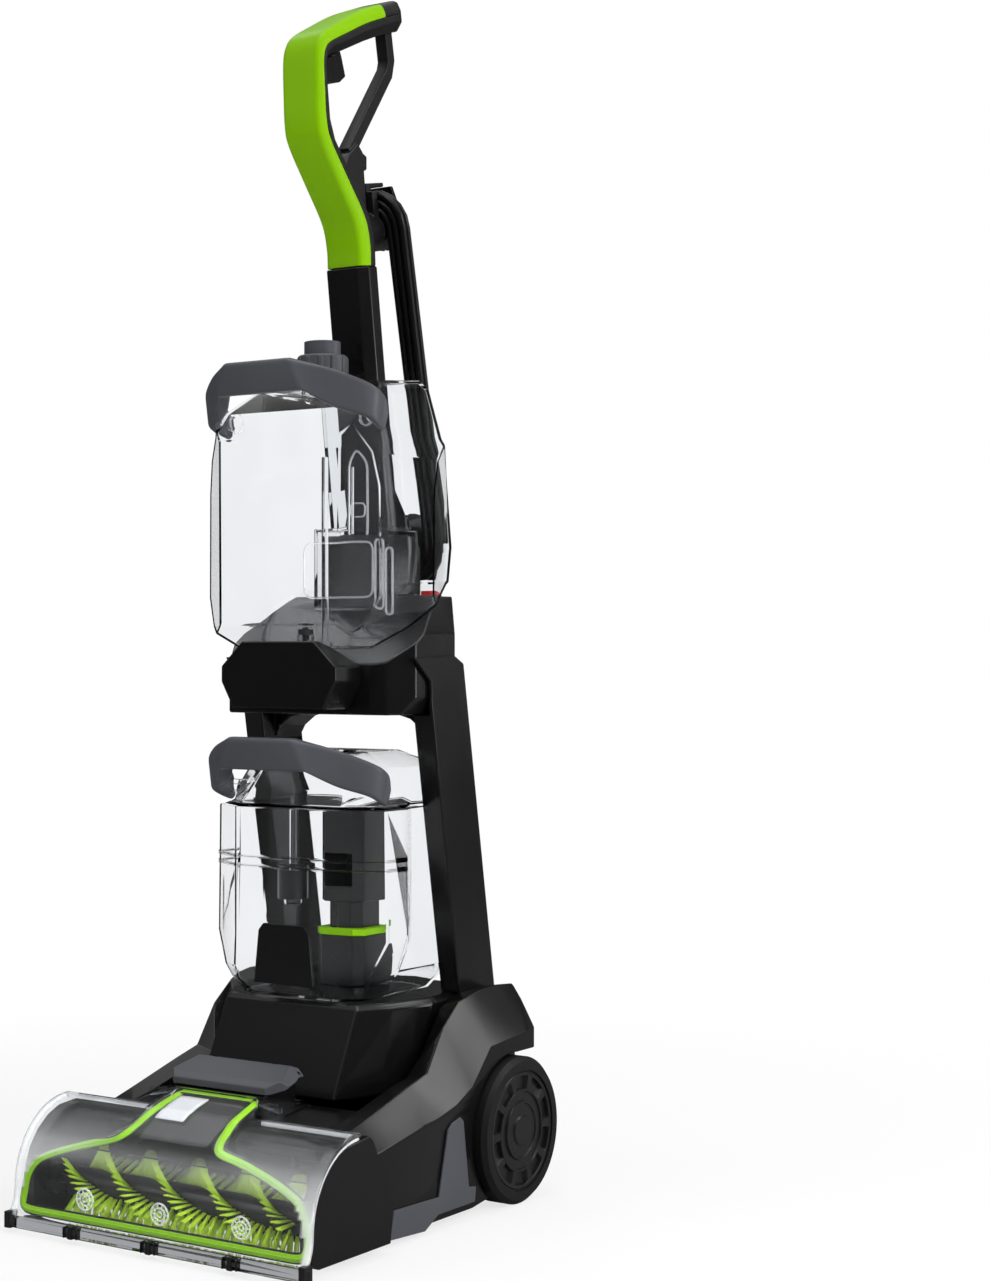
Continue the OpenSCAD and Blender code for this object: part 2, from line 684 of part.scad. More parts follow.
// Front cover: raked face, two corner facets and bowed sides, closed by a chamfered top
function cover_ring(d, z, f, c, s, y1 = cover_y) = [
  [-71.5 + d, f + d, z], [71.5 - d, f + d, z], [c[0] - d, c[1] + d * 0.4, z], [s[0] - d, s[1], z],
  [s[0] - d, y1, z], [-s[0] + d, y1, z], [-s[0] + d, s[1], z], [-c[0] + d, c[1] + d * 0.4, z]];
module motor_cover() {
  color(black) difference() {
    loft([cover_ring(0, deck_top, -44, [89, 2], [99, 26]),
      cover_ring(0, shelf_z - 5, -8, [90, 22], [box_half - 0.1, 70]),
      cover_ring(4, shelf_z, -8, [90, 22], [box_half - 0.1, 70])]);
    loft([cover_ring(wall, deck_top - 1, -44, [89, 2], [99, 26], cover_y + 1),
      cover_ring(wall, shelf_z - 5 - wall, -8, [90, 22], [box_half, 70], cover_y + 1)]);
  }
}

// Outline of a pillar in its leaned frame, standing on the points of its foot
function pillar_side(foot) = concat(foot, [[pillar_t1, pillar_top - 12], [pillar_t1 - 14, pillar_top - 2],
  [pillar_t0 - 20, pillar_top + 8], [pillar_t0 + 3, pillar_top - 18], [pillar_t0, pillar_top - 36]]);
pillar_s1 = pillar_s0 - 14;
module pillars() {
  color(black) pair() difference() {
    union() {
      leaned() along_x(pillar_side([[pillar_t0, pillar_s1], [-24, 0], [24, 0], [pillar_t1, pillar_s1]]),
        arm_in, pillar_out);
      difference() {
        leaned() along_x(pillar_side([[pillar_t0, pillar_s1], [pillar_t1, pillar_s1]]), pillar_in,
          pillar_out);
        block([0, 0, 0], [pillar_out + 1, 300, shelf_z + 0.1]);
      }
      rod_x(axle_y, axle_z, 26, arm_in + 0.2, pillar_out - 0.2);
      along_y([[pillar_in + 1, housing_z - 26], [pillar_in + 1, housing_z], [pillar_in - 36, housing_z],
        [pillar_in - 18, housing_z - 5], [pillar_in - 6, housing_z - 14]], 84, 126);
    }
    leaned() along_x([[pillar_t0 + wall, pillar_s0], [pillar_t1 - wall, pillar_s0],
      [pillar_t1 - wall, 374], [pillar_t0 + wall, 374]], pillar_in + wall, pillar_out - wall);
    block([0, -100, housing_z], [box_half + seat, 200, 600]);
    rod_x(axle_y, axle_z, bush_r + run, box_half - 1, pillar_out + 1);
  }
}

// ---- Carry housing ----

house_side = [[housing_front, housing_z], [housing_back, housing_z], [housing_back, housing_top],
  [110, housing_top], [103, housing_top - 3], [housing_front, housing_top - 61]];
house_plan = both([[carry_half, housing_front - 1], [86, housing_front + 2], [box_half, 42],
  [box_half, 107], [62, housing_back + 1]]);
house_front = [[-box_half + 8, housing_z - 1], [box_half - 8, housing_z - 1], [box_half, housing_z + 14],
  [box_half, housing_top - 34], [box_half - 22, housing_top + 1], [-box_half + 22, housing_top + 1],
  [-box_half, housing_top - 34], [-box_half, housing_z + 14]];
module tube_outline(d) {
  polygon(inset(both([[16.5, -tube_d / 2], [tube_half, -4.5], [tube_half, tube_d / 2 - 6],
    [tube_half - 6, tube_d / 2]]), d));
}
tube_foot = 478;
module carry_housing() {
  color(black) difference() {
    union() {
      difference() {
        blank(house_side, house_plan, house_front);
        blank(house_side, house_plan, house_front, wall);
      }
      block([-30, 116, housing_z + 1], [30, housing_back - 1, tube_foot]);
      along_x(tower_side, -tower_half, tower_half);
    }
    on_tube() translate([0, 0, -(tube_z - tube_foot)]) linear_extrude(200) tube_outline(-0.15);
    block([switch_x - 8.6, switch_y - 7.4, housing_top - 8], [switch_x + 8.6, switch_y + 7.4, housing_top + 1]);
    translate([-46, switch_y, housing_top - 8]) cylinder(r = 5, h = 10);
    translate([0, 16, housing_top - 66]) cylinder(r = 6, h = 20);
  }
}
carry_face = both([[49, housing_z + 5], [carry_half, housing_z + 29], [carry_half, housing_z + 43],
  [39, housing_z + 65]]);
module carry_handle() {
  color(black) difference() {
    intersection() {
      along_y(carry_face, carry_front, housing_front - 0.05);
      along_x([[carry_front, housing_z], [housing_front, housing_z], [housing_front, housing_z + 43],
        [carry_front + 13, housing_z + 64], [carry_front + 10, housing_z + 65],
        [carry_front, housing_z + 65]], -far, far);
    }
    block([-carry_half + 16, carry_front + carry_t, housing_z - 10],
      [carry_half - 16, housing_front + 1, housing_z + 41 - wall]);
    block([-carry_half + 18, carry_front + 3, housing_z - 10], [carry_half - 18, housing_front + 1,
      housing_z + 12]);
  }
}

// ---- Tube, hooks and handle ----

tube_top = -2.7;
module tube() {
  color(black) on_tube() difference() {
    translate([0, 0, -(tube_z - tube_foot) + seat]) linear_extrude(tube_z - tube_foot + tube_top - seat)
      tube_outline(0);
    translate([0, 0, -400]) linear_extrude(450) tube_outline(2.2);
  }
}
module lower_cord_hook() {
  color(black) difference() {
    union() {
      on_winding() translate([0, -hub_span, -12]) cylinder(r = low_hub_r, h = 12 + hook_room);
      on_winding() translate([0, -hub_span, hook_room - 0.1]) linear_extrude(4)
        polygon([[-20, 20], [20, 20], [20, -26], [14, -46], [-14, -46], [-20, -26]]);
      along_x([[122, 656], [128, 656], [168, 606], [166, 580], [150, 560], [128, 560]], -16, 16);
    }
    on_tube() translate([0, 0, -400]) linear_extrude(450) tube_outline(-0.05);
    along_x(inset(tower_side, -seat), -tower_half, tower_half);
    on_winding() translate([0, -hub_span, -30]) cylinder(r = low_hub_r - 3, h = 27 + hook_room);
    along_x([[166, 620], [240, 620], [240, 500], [150, 500]], -9, 9);
  }
}
module upper_cord_hook() {
  color(black) difference() {
    on_winding() union() {
      cylinder(r = hub_r, h = hook_room);
      translate([0, 0, hook_room - 0.1]) linear_extrude(4.5)
        polygon([[-16, -18], [16, -18], [16, 26], [12, 40], [-12, 40], [-16, 26]]);
    }
    on_winding() translate([0, 0, -1]) cylinder(r = hook_pin_r + run, h = 60);
    on_winding() translate([-5, 28, 0]) cube([10, 5, 60]);
  }
}

// Front and back points of the handle in side view, from the tube up to the grip's end
handle_line = [[[75.6, 848], [105, 851]], [[74, 866], [104, 872]], [[66, 888], [95, 897]],
  [[41, 918], [61, 933]], [[16, 948], [38, 957]], [[9, 965], [30, 974]], [[7, 996], [26, 1000]],
  [[7, 1026], [23, 1018]], [[11, 1040], [25, 1026]], [[20, 1050], [31, 1030]], [[45, 1064], [54, 1040]],
  [[76, 1080], [87, 1055]], [[106, 1092], [114, 1066]], [[130, 1101], [137, 1074]]];
function at(s, x, q) = let (p = mix(s[0], s[1], q)) [x, p[0], p[1]];
split = 0.45;
function front_ring(s) = let (w = grip_half) [at(s, -w + 3, 0), at(s, w - 3, 0), at(s, w, 0.28),
  at(s, w, split), at(s, -w, split), at(s, -w, 0.28)];
function rear_ring(s) = let (w = grip_half) [at(s, w, split + 0.01), at(s, w, 0.7), at(s, w - 6.5, 1),
  at(s, -w + 6.5, 1), at(s, -w, 0.7), at(s, -w, split + 0.01)];
// Side outline of the handle between two shares of its depth
function handle_band(q0, q1) = let (n = len(handle_line)) concat([for (s = handle_line) mix(s[0], s[1], q0)],
  [for (i = [n - 1:-1:0]) mix(handle_line[i][0], handle_line[i][1], q1)]);
module handle_front() {
  color(lime) difference() {
    loft([for (s = handle_line) front_ring(s)]);
    along_x(handle_band(0.12, split + 0.1), -grip_half + wall, grip_half - wall);
  }
}
grip_end = [[[130.4, 1101], [137.4, 1074]], [[140, 1102], [145, 1076]], [[146, 1099], [149, 1080]]];
strut_line = [[140, 1080], [146, 1050], [143, 1038], [79, 952]];
module strut() {
  n = [for (i = [0:2]) let (u = unit(strut_line[i + 1] - strut_line[i])) [-u[1], u[0]]];
  h = strut_t / 2;
  along_x([strut_line[0] + n[0] * h, strut_line[1] + n[0] * h, strut_line[2] + n[2] * h,
    strut_line[3] + n[2] * h, strut_line[3] - n[2] * h, strut_line[2] - n[2] * h,
    strut_line[1] - n[0] * h, strut_line[0] - n[0] * h], -strut_half, strut_half);
}
trigger_pivot = [38, 1036];
module handle_rear() {
  color(charcoal) difference() {
    union() {
      difference() {
        loft([for (s = handle_line) rear_ring(s)]);
        along_x(handle_band(split - 0.1, 0.87), -grip_half + 7, grip_half - 7);
      }
      loft([for (i = [0:2]) let (s = grip_end[i], w = grip_half - 2 * i * i) [at(s, -w + 3, 0),
        at(s, w - 3, 0), at(s, w, 0.3), at(s, w, 0.7), at(s, w - 6.5, 1), at(s, -w + 6.5, 1),
        at(s, -w, 0.7), at(s, -w, 0.3)]]);
      strut();
      along_x([[62, 930], [92, 900], [100, 905], [94, 955], [86, 962], [70, 948]], -9, 9);
      along_x([[90, 940], [100, 938], [108, 942], [108, 954], [100, 957], [90, 953]], -4, 4);
      pair() rod_x(trigger_pivot[0], trigger_pivot[1], 5.5, 8.2, grip_half - 6.9);
      on_winding() translate([0, 0, -24]) cylinder(r = hub_r + 1, h = 23.7);
      on_winding() translate([-14, 0, -9]) cube([28, 36, 8.7]);
      on_winding() translate([-8, 40, -9]) cube([16, 4, 30]);
      on_winding() translate([-8, 30, -9]) cube([16, 14, 8.7]);
      on_winding() translate([0, 0, -2]) cylinder(r = hook_pin_r, h = hook_room + 8);
      on_winding() translate([0, 0, hook_room + 5]) cylinder(r = hook_pin_r + 3, h = 2.5);
    }
    rod_x(trigger_pivot[0], trigger_pivot[1], trigger_pin_r + run, -14, 14);
    block([-8, 24, 990], [8, 72, 1052]);
    rod_x(100, 947.5, 2.6, -10, 10);
  }
}
module trigger() {
  color(black) difference() {
    union() {
      along_x([[33, 1010], [60, 1013], [69, 1020], [63, 1036], [60, 1042], [44, 1041], [33, 1036],
        [31, 1022]], -7, 7);
      rod_x(trigger_pivot[0], trigger_pivot[1], trigger_pin_r, -13, 13);
    }
  }
}
module power_switch() {
  color([0.75, 0.05, 0.05]) union() {
    along_x([[switch_y - 6.3, housing_top - 2], [switch_y - 6.3, housing_top + 5],
      [switch_y + 6.3, housing_top + 1.5], [switch_y + 6.3, housing_top - 2], [switch_y, housing_top - 6]],
      switch_x - 8, switch_x + 8);
  }
}

// ---- Mains lead ----

module loop(d) {
  polygon(round_two([0, 0], hub_r + d, [0, -hub_span], low_hub_r + d, 24));
}
module cord_winding() {
  color(black) on_winding() linear_extrude(winding_t) difference() {
    loop(seat + winding_w);
    loop(seat);
  }
}
function cord_ring(p, t) = let (u = unit(cross(t, [0, 1, 0])), v = cross(u, t))
  [for (k = [0:9]) p + lead_d / 2 * (cos(36 * k) * u + sin(36 * k) * v)];
module cord_lead() {
  n = len(lead_path);
  color(black) loft([for (i = [0:n - 1]) cord_ring(lead_path[i],
    unit(lead_path[min(i + 1, n - 1)] - lead_path[max(i - 1, 0)]))]);
}
module cord_plug() {
  color(black) on_winding() translate([hub_r + winding_w + 5.6, -240, winding_t / 2]) {
    translate([0, 0, -8]) cube([17, 42, 16]);
    for (z = [-5.5, 5.5]) translate([8.5, 41, z]) rotate([-90, 0, 0]) cylinder(r = 2, h = 20);
  }
}
module strain_relief() {
  color(black) translate([-46, switch_y, housing_top - 4]) rotate_extrude() polygon([[0, 0], [4.9, 0],
    [4.9, 4.1], [7, 4.1], [7, 7], [4.4, 34], [0, 34]]);
}

// ---- Works inside the motor box ----

module vacuum_motor() {
  color(steel) translate([0, motor_y, 0]) difference() {
    union() {
      translate([0, 0, 86]) cylinder(r = motor_r, h = 68);
      translate([0, 0, 42]) cylinder(r = motor_r + 2, h = 44);
      translate([0, 0, 24 + wall]) cylinder(r = 34, h = 16);
    }
    translate([0, 0, 44]) cylinder(r = fan_r + 1, h = 38);
    translate([0, 0, 20]) cylinder(r = 20, h = 30);
    translate([0, 0, 20]) cylinder(r = 30, h = 19);
    translate([0, 0, 80]) cylinder(r = 4 + run, h = 90);
  }
}
module fan() {
  color(steel) translate([0, motor_y, 0]) union() {
    translate([0, 0, 48]) cylinder(r = fan_r, h = 3);
    translate([0, 0, 51]) cylinder(r = 9, h = 24);
    translate([0, 0, 75]) cylinder(r = 4, h = 78);
    for (i = [0:7]) rotate([0, 0, 45 * i]) translate([8, -1, 51]) cube([fan_r - 9, 2, 20]);
  }
}
module water_pump() {
  color(charcoal) union() {
    block([34, 10, deck_top], [76, 60, deck_top + 34]);
    translate([55, 35, deck_top + 34]) cylinder(r = 10, h = 8);
    translate([34, 35, deck_top + 20]) rotate([0, -90, 0]) cylinder(r = 4, h = 8.9);
  }
}
riser_z = shelf_z - 34;
module suction_riser() {
  color(charcoal) difference() {
    union() {
      along_x([[stack_y + 13, riser_z], [stack_y + 13, shelf_z - 12], [-3, shelf_z - 12], [-26, 116],
        [-26, deck_top - 1.4], [-2, deck_top - 1.4], [6, riser_z]], -13, 13);
      translate([0, stack_y, shelf_z - 14]) cylinder(r = 13, h = 13.8);
    }
    along_x([[stack_y + 11, riser_z + 2], [stack_y + 11, shelf_z - 14], [-2, shelf_z - 14], [-24, 116],
      [-24, deck_top - 3], [-4, deck_top - 3], [5, riser_z + 2]], -11, 11);
    translate([0, stack_y, shelf_z - 20]) cylinder(r = 11, h = 30);
  }
}
module solution_tube() {
  color(steel) union() {
    translate([22, 35, deck_top + 20]) rotate([0, 90, 0]) cylinder(r = 3, h = 1.9);
    translate([22, 32, deck_top + 20]) rotate([-90, 0, 0]) cylinder(r = 3, h = 36);
    translate([22, 65, deck_top + 20]) cylinder(r = 3, h = 50);
  }
}
module box_screws() {
  color(steel) for (x = [-70, 70], z = [60, 140]) translate([x, box_back, z]) rotate([90, 0, 0]) {
    translate([0, 0, -2]) cylinder(r = 3.5, h = 2, $fn = 24);
    cylinder(r = 1.6, h = 10, $fn = 24);
  }
}

// ---- Upper tank ----

up_y = -28;
up_side = [[up_y, 520], [-3, 499.4], [33.5, 499.4], [103, housing_top - 2.3], [110, housing_top + 0.8],
  [133, 560], [139, 592], [127, 668], [112, 735],
  [98, up_top], [40, up_top - 5], [-6, up_top - 30], [up_y + 2, up_top - 57]];
up_plan = both([[up_front, up_y - 1], [up_half, -3], [up_half, 82], [78, 128], [77, 140]]);
up_frontal = both([[58, 498], [82, 519], [up_half, 545], [up_half - 1, 640], [up_half - 6, 670],
  [77, 690], [68, up_top + 1]]);
channel_half = tube_half + 7;
function tube_front(z) = tube_y + (tube_z - z) * tan(tube_lean) - tube_d / 2 / cos(tube_lean);
function channel_side(d) = [[tube_front(up_top + 20) - 1.5 - d, up_top + 20],
  [tube_front(490) - 1.5 - d, 490], [200, 490], [200, up_top + 20]];
cap_y = 42;
valve_y = 16;
boss_top = 512;
module up_blank(d) {
  difference() {
    blank(up_side, up_plan, up_frontal, d);
    along_x(channel_side(d), -channel_half - d, channel_half + d);
    block([-tower_half - 4 - d, tower_y - 4 - d, 400], [tower_half + 4 + d, 200, tower_z + 4 + d]);
  }
}
// Pins of a bail, each on a boss that grows out of the wall at x_in and ends at x_out
module bail_pins(y, z, x_in, x_out) {
  pair() {
    rod_x(y, z, bail_pin_r, x_in, bail_half - 3);
    rod_x(y, z, bail_pin_r + 2, x_in, x_out);
  }
}
up_pin = [7, 703];
module clean_tank() {
  color(clear) difference() {
    union() {
      difference() {
        up_blank(0);
        up_blank(tank_wall);
      }
      translate([0, cap_y, up_top - 14]) cylinder(r = neck_r, h = 22);
      translate([0, valve_y, 500]) cylinder(r = 8, h = boss_top - 500);
      difference() {
        bail_pins(up_pin[0], up_pin[1], 68, bail_half - 11.5);
        up_blank(tank_wall / 2);
      }
    }
    translate([0, cap_y, up_top - 30]) cylinder(r = neck_r - 2.5, h = 60);
    translate([0, valve_y, 490]) cylinder(r = 3 + run, h = 40);
  }
}
module clean_tank_cap() {
  color(grey) translate([0, cap_y, up_top + 2]) difference() {
    union() {
      translate([0, 0, 2]) cylinder(r = cap_r, h = 16);
      translate([0, 0, 18]) cylinder(r1 = cap_r, r2 = cap_r - 1.5, h = 1.5);
      translate([0, 0, 19]) cylinder(r = cap_grip_r, h = 13);
      for (i = [0:11]) rotate([0, 0, 30 * i]) translate([cap_r - 0.5, -1.5, 3]) cube([1.5, 3, 14]);
    }
    translate([0, 0, -10]) cylinder(r = neck_r + slip, h = 16 + seat);
  }
}
module valve_plunger() {
  color(charcoal) translate([0, valve_y, 0]) union() {
    translate([0, 0, 495]) cylinder(r = 3, h = 24);
    translate([0, 0, boss_top + seat]) cylinder(r = 7, h = 5);
  }
}
module pickup_tube() {
  color(charcoal) union() {
    translate([24, 12, 499.4 + tank_wall]) cylinder(r = 3, h = 170);
    translate([24, 12, 499.4 + tank_wall]) cylinder(r = 7, h = 5);
  }
}

// A bail: front bar, two swept arms and eyes round the pins, with its pin axis at y = z = 0
module bail() {
  eye_in = bail_half - 9.8;
  half = [[[bail_front + 11, -63, 47 - bail_h], [bail_front + 6, -49, 47 - bail_h],
      [bail_front - 4, -52, 47], [bail_front, -67, 47]],
    [[bail_half - 25, -39, 4], [bail_half - 34, -32, 6], [bail_half - 34, -37, 37],
      [bail_half - 24, -45, 38]],
    [[bail_half - 3, -19, -4], [eye_in, -18, -4], [eye_in, -18, 24], [bail_half, -20, 26]],
    [[bail_half - 5, 6, -12], [eye_in, 6, -12], [eye_in, 6, 8], [bail_half, 6, 11]]];
  other = [for (i = [3:-1:0]) [for (p = half[i]) [-p[0], p[1], p[2]]]];
  difference() {
    union() {
      loft(concat(other, half));
      pair() rod_x(0, 0, 9, bail_half - 10, bail_half);
    }
    pair() rod_x(0, 0, bail_pin_r + run, bail_half - 20, bail_half - 2);
  }
}
module clean_tank_bail() {
  color(grey) translate([0, up_pin[0], up_pin[1]]) bail();
}

// ---- Lower tank ----

low_y = -15;
lobe = pillar_in - slip - 1;
// Half plan of the lower tank at each height: front, side and rear corners
low_levels = [
  [tank_z, [low_front - 12, low_y + 9], [low_half - 27, 10], [low_half - 27, 44], [lobe - 20, 60]],
  [tank_z + 13, [low_front - 2, low_y + 2], [low_half - 19, 4], [low_half - 17, 43], [lobe - 7, 62]],
  [tank_z + 24, [low_front + 1, low_y], [low_half - 13, 2], [low_half - 11, 42], [lobe - 1, 62]],
  [tank_z + 53, [low_front, low_y], [low_half, 9], [low_half, 41], [lobe, 63]],
  [lid_z, [low_front, low_y], [low_half - 1.5, 9], [low_half - 1.5, 41], [lobe, 63]]];
function low_plan(l, y1 = 121) = both([l[1], l[2], l[3], l[4], [l[4][0], y1]]);
function at_z(p, z) = [for (q = p) [q[0], q[1], z]];
module low_solid(d, floor, top) {
  loft(concat([for (i = [0:3]) let (l = low_levels[i]) at_z(inset(low_plan(l), d),
    l[0] + (i == 0 ? floor : floor * 0.4))], [at_z(inset(low_plan(low_levels[4]), d), lid_z + top)]));
}
lid_levels = [
  [lid_z, [low_front - 1, low_y + 2], [low_half - 4, 12], [low_half - 4, 40], [lobe - 1, 62]],
  [lid_z + 4, [low_front - 2, low_y + 5], [low_half - 13, 16], [low_half - 13, 40], [lobe - 1, 62]],
  [lid_z + 16, [low_front - 6, low_y + 14], [low_half - 14, 20], [low_half - 14, 42], [lobe - 3, 64]],
  [lid_top - 13, [low_front - 10, 16], [low_half - 18, 34], [low_half - 18, 46], [lobe - 5, 64]],
  [lid_top, [22, 42], [34, 52], [38, 60], [38, 66]]];
module lid_solid(d, floor) {
  loft([for (i = [0:4]) let (l = lid_levels[i]) at_z(inset(low_plan(l, i == 4 ? 110 : 120), d),
    l[0] + (i == 0 ? floor : i == 4 ? -d : -d * 0.4))]);
}
low_pin = [11.5, lid_z + 17];
module dirty_tank() {
  color(clear) difference() {
    union() {
      difference() {
        low_solid(0, 0, 0);
        low_solid(tank_wall, tank_wall, 5);
      }
      difference() {
        union() {
          along_z(inset(low_plan(low_levels[4]), -1), 305, 307);
          along_z(inset(low_plan(low_levels[4]), -1), 313, 315);
        }
        along_z(inset(low_plan(low_levels[4]), 0.6), 300, 320);
        block([-far, 40, 300], [far, 200, 320]);
      }
    }
    translate([0, stack_y, tank_z - 5]) cylinder(r = 14, h = 20);
  }
}
module dirty_tank_lid() {
  color(clear) difference() {
    union() {
      difference() {
        lid_solid(0, 0.05);
        lid_solid(wall, wall);
      }
      difference() {
        bail_pins(low_pin[0], low_pin[1], 54, bail_half - 10.5);
        lid_solid(wall / 2, 0);
      }
      translate([-42, 55, 268]) cylinder(r = 3, h = lid_z - 267);
      translate([-42, 55, 265]) cylinder(r = 8, h = 5);
    }
    block([-stack_w / 2 + 6, stack_y - 17, lid_z - 5], [stack_w / 2 - 6, stack_y + 17,
      lid_z + 5]);
  }
}
function stack_plan(w) = [[-w / 2, stack_y - w / 2 + 8], [-w / 2 + 8, stack_y - w / 2],
  [w / 2 - 8, stack_y - w / 2], [w / 2, stack_y - w / 2 + 8], [w / 2, stack_y + w / 2], [-w / 2, stack_y + w / 2]];
ring_z = tank_z + 48;
module separator() {
  neck = ring_z + 30;
  color(charcoal) difference() {
    union() {
      along_z(stack_plan(stack_w + 4), tank_z + tank_wall + 0.02, ring_z);
      along_z(stack_plan(stack_w - 10), ring_z - 1, neck + 1);
      along_z(stack_plan(stack_w), neck, lid_z - 0.05);
    }
    along_z(inset(stack_plan(stack_w - 10), 2), ring_z, lid_z + 10);
    along_z(inset(stack_plan(stack_w), 2), neck + 2, lid_z + 10);
    translate([0, stack_y, tank_z]) cylinder(r = 14, h = 60);
    along_z(inset(stack_plan(stack_w), 2), tank_z + tank_wall + 6, ring_z - 2);
    block([-15, 40, neck + 14], [15, stack_y, neck + 44]);
  }
}
module separator_ring() {
  color(lime) difference() {
    along_z(stack_plan(stack_w + 6), ring_z + 0.02, ring_z + 6);
    along_z(stack_plan(stack_w - 9.9), ring_z - 1, ring_z + 7);
  }
}
module tank_float() {
  color(charcoal) translate([-42, 55, 270 + seat]) difference() {
    cylinder(r = float_r, h = 30);
    translate([0, 0, -1]) cylinder(r = 3 + run, h = 40);
  }
}
module dirty_tank_bail() {
  color(grey) translate([0, low_pin[0], low_pin[1]]) bail();
}
module badge_plate() {
  face = [[-32, 203], [32, 203], [27, 250], [22, 256], [-22, 256], [-27, 250]];
  color(black) along_y(face, low_y - 4, low_y - 0.05);
}

base_shell();
side_cheeks();
side_skirts();
wheel_axles();
hinge_bushes();
brush_hood();
brush_motor();
motor_pulley();
drive_belt();
brush_bearings();
spray_bar();
foot_duct();
glide_pads();
base_screws();
nozzle_window();
window_gasket();
nozzle_lip();
brush_core();
brush_bristles();
brush_pulley();
tyre_left();
rim_left();
tyre_right();
rim_right();
hose_door();
motor_box();
motor_cover();
pillars();
carry_housing();
carry_handle();
tube();
handle_front();
handle_rear();
lower_cord_hook();
vacuum_motor();
water_pump();
suction_riser();
solution_tube();
box_screws();
fan();
trigger();
power_switch();
upper_cord_hook();
cord_winding();
cord_lead();
cord_plug();
strain_relief();
clean_tank();
clean_tank_cap();
clean_tank_bail();
valve_plunger();
pickup_tube();
dirty_tank();
dirty_tank_lid();
separator();
separator_ring();
tank_float();
dirty_tank_bail();
badge_plate();
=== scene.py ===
# %% [markdown]
# # An upright carpet cleaner
# The machine's working pieces come ready made from its CAD model, which we load here as a fixed
# frame. Blender then gives every piece its finish, and models again the pieces whose soft edges,
# clear walls, bristles or windings a CAD solid only stands for.

# %% Load the frame
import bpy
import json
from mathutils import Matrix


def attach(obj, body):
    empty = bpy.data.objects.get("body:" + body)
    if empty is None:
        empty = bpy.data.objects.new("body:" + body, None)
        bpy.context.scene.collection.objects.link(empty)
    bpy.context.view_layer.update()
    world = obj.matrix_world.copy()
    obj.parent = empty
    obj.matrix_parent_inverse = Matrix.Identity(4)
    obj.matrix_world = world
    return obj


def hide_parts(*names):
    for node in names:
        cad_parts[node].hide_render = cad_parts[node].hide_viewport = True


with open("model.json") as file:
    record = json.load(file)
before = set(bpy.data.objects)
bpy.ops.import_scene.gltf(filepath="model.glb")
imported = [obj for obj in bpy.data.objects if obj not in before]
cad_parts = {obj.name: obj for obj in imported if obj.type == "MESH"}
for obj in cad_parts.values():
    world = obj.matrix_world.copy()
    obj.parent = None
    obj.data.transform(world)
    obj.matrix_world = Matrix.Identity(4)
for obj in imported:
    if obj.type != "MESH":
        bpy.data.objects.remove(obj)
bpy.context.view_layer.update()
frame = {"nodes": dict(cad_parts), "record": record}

import json
import bmesh
import bpy
import numpy as np
from math import radians

mm = 0.001

# %% [markdown]
# ## Camera
# A product picture is taken with a long lens from a few steps away, which keeps uprights upright.
# The camera stands level, a little below the machine's middle. Its shift slides the picture on
# the sensor instead of turning the camera, so vertical lines stay parallel.

# %% The camera
camera = bpy.data.objects.new("camera", bpy.data.cameras.new("camera"))
bpy.context.scene.collection.objects.link(camera)
camera.location = (1.2186, -1.6945, 0.5)
camera.rotation_euler = (radians(90), 0, radians(36.1))
camera.data.sensor_width = 36
camera.data.lens = 66.04
camera.data.shift_x = 0.168
camera.data.shift_y = 0.0058
bpy.context.scene.camera = camera
print("camera at", tuple(camera.location))

# %% [markdown]
# ## Light and floor
# Dark plastic shows its shape by what it mirrors. Broad panels in front and at the side light the
# colours and are kept out of the mirrors, or they would turn every black face grey. Two panels
# overhead and two small ones on the right are mirrored, and draw bright lines along the upper
# edges. The world and the floor look white to the camera and through glass, and light the machine
# no more than a plain room would. In mirrors the floor is dark, and so is the world at eye level,
# so that upright faces stay black.

# %% Lamps
def panel(name, place, target, size, power, mirrored=True):
    """A square lamp of that size, in metres, at a place, turned towards a target."""
    lamp = bpy.data.lights.new(name, "AREA")
    lamp.shape = "SQUARE"
    lamp.size = size
    lamp.energy = power
    holder = bpy.data.objects.new(name, lamp)
    bpy.context.scene.collection.objects.link(holder)
    holder.location = place
    way = np.array(target) - np.array(place)
    yaw = np.arctan2(way[1], way[0]) - np.pi / 2
    pitch = np.arctan2(np.hypot(way[0], way[1]), -way[2])
    holder.rotation_euler = (pitch, 0, yaw)
    holder.visible_glossy = mirrored


panel("panel_front", (-1.4, -1.8, 1.7), (0, 0, 0.5), 1.8, 18, mirrored=False)
panel("panel_side", (2.3, -0.5, 1.5), (0, 0, 0.5), 1.4, 44, mirrored=False)
panel("panel_high", (-1.3, 0.7, 2.3), (0, 0, 0.5), 0.9, 2.5)
panel("panel_top", (0.2, -0.2, 2.6), (0, 0, 0.5), 1.1, 16)
panel("panel_right", (1.6, 1.1, 1.7), (0, 0, 0.3), 0.7, 7)
panel("panel_low", (1.78, 1.38, 0.66), (0.13, 0, 0.12), 0.8, 9)
print("six lamps")

# %% Shader nodes
def feed(tree, made, values):
    """Gives a node's inputs, by socket name or number, a plain value or another node's output."""
    for socket, value in values.items():
        if isinstance(value, bpy.types.NodeSocket):
            tree.links.new(value, made.inputs[socket])
        else:
            made.inputs[socket].default_value = value


def add_node(tree, kind, values=None, **settings):
    """A new node of that kind with its settings made and its inputs fed; gives its outputs."""
    made = tree.nodes.new("ShaderNode" + kind)
    for setting, value in settings.items():
        setattr(made, setting, value)
    feed(tree, made, values or {})
    return made.outputs


print("node helpers are ready")

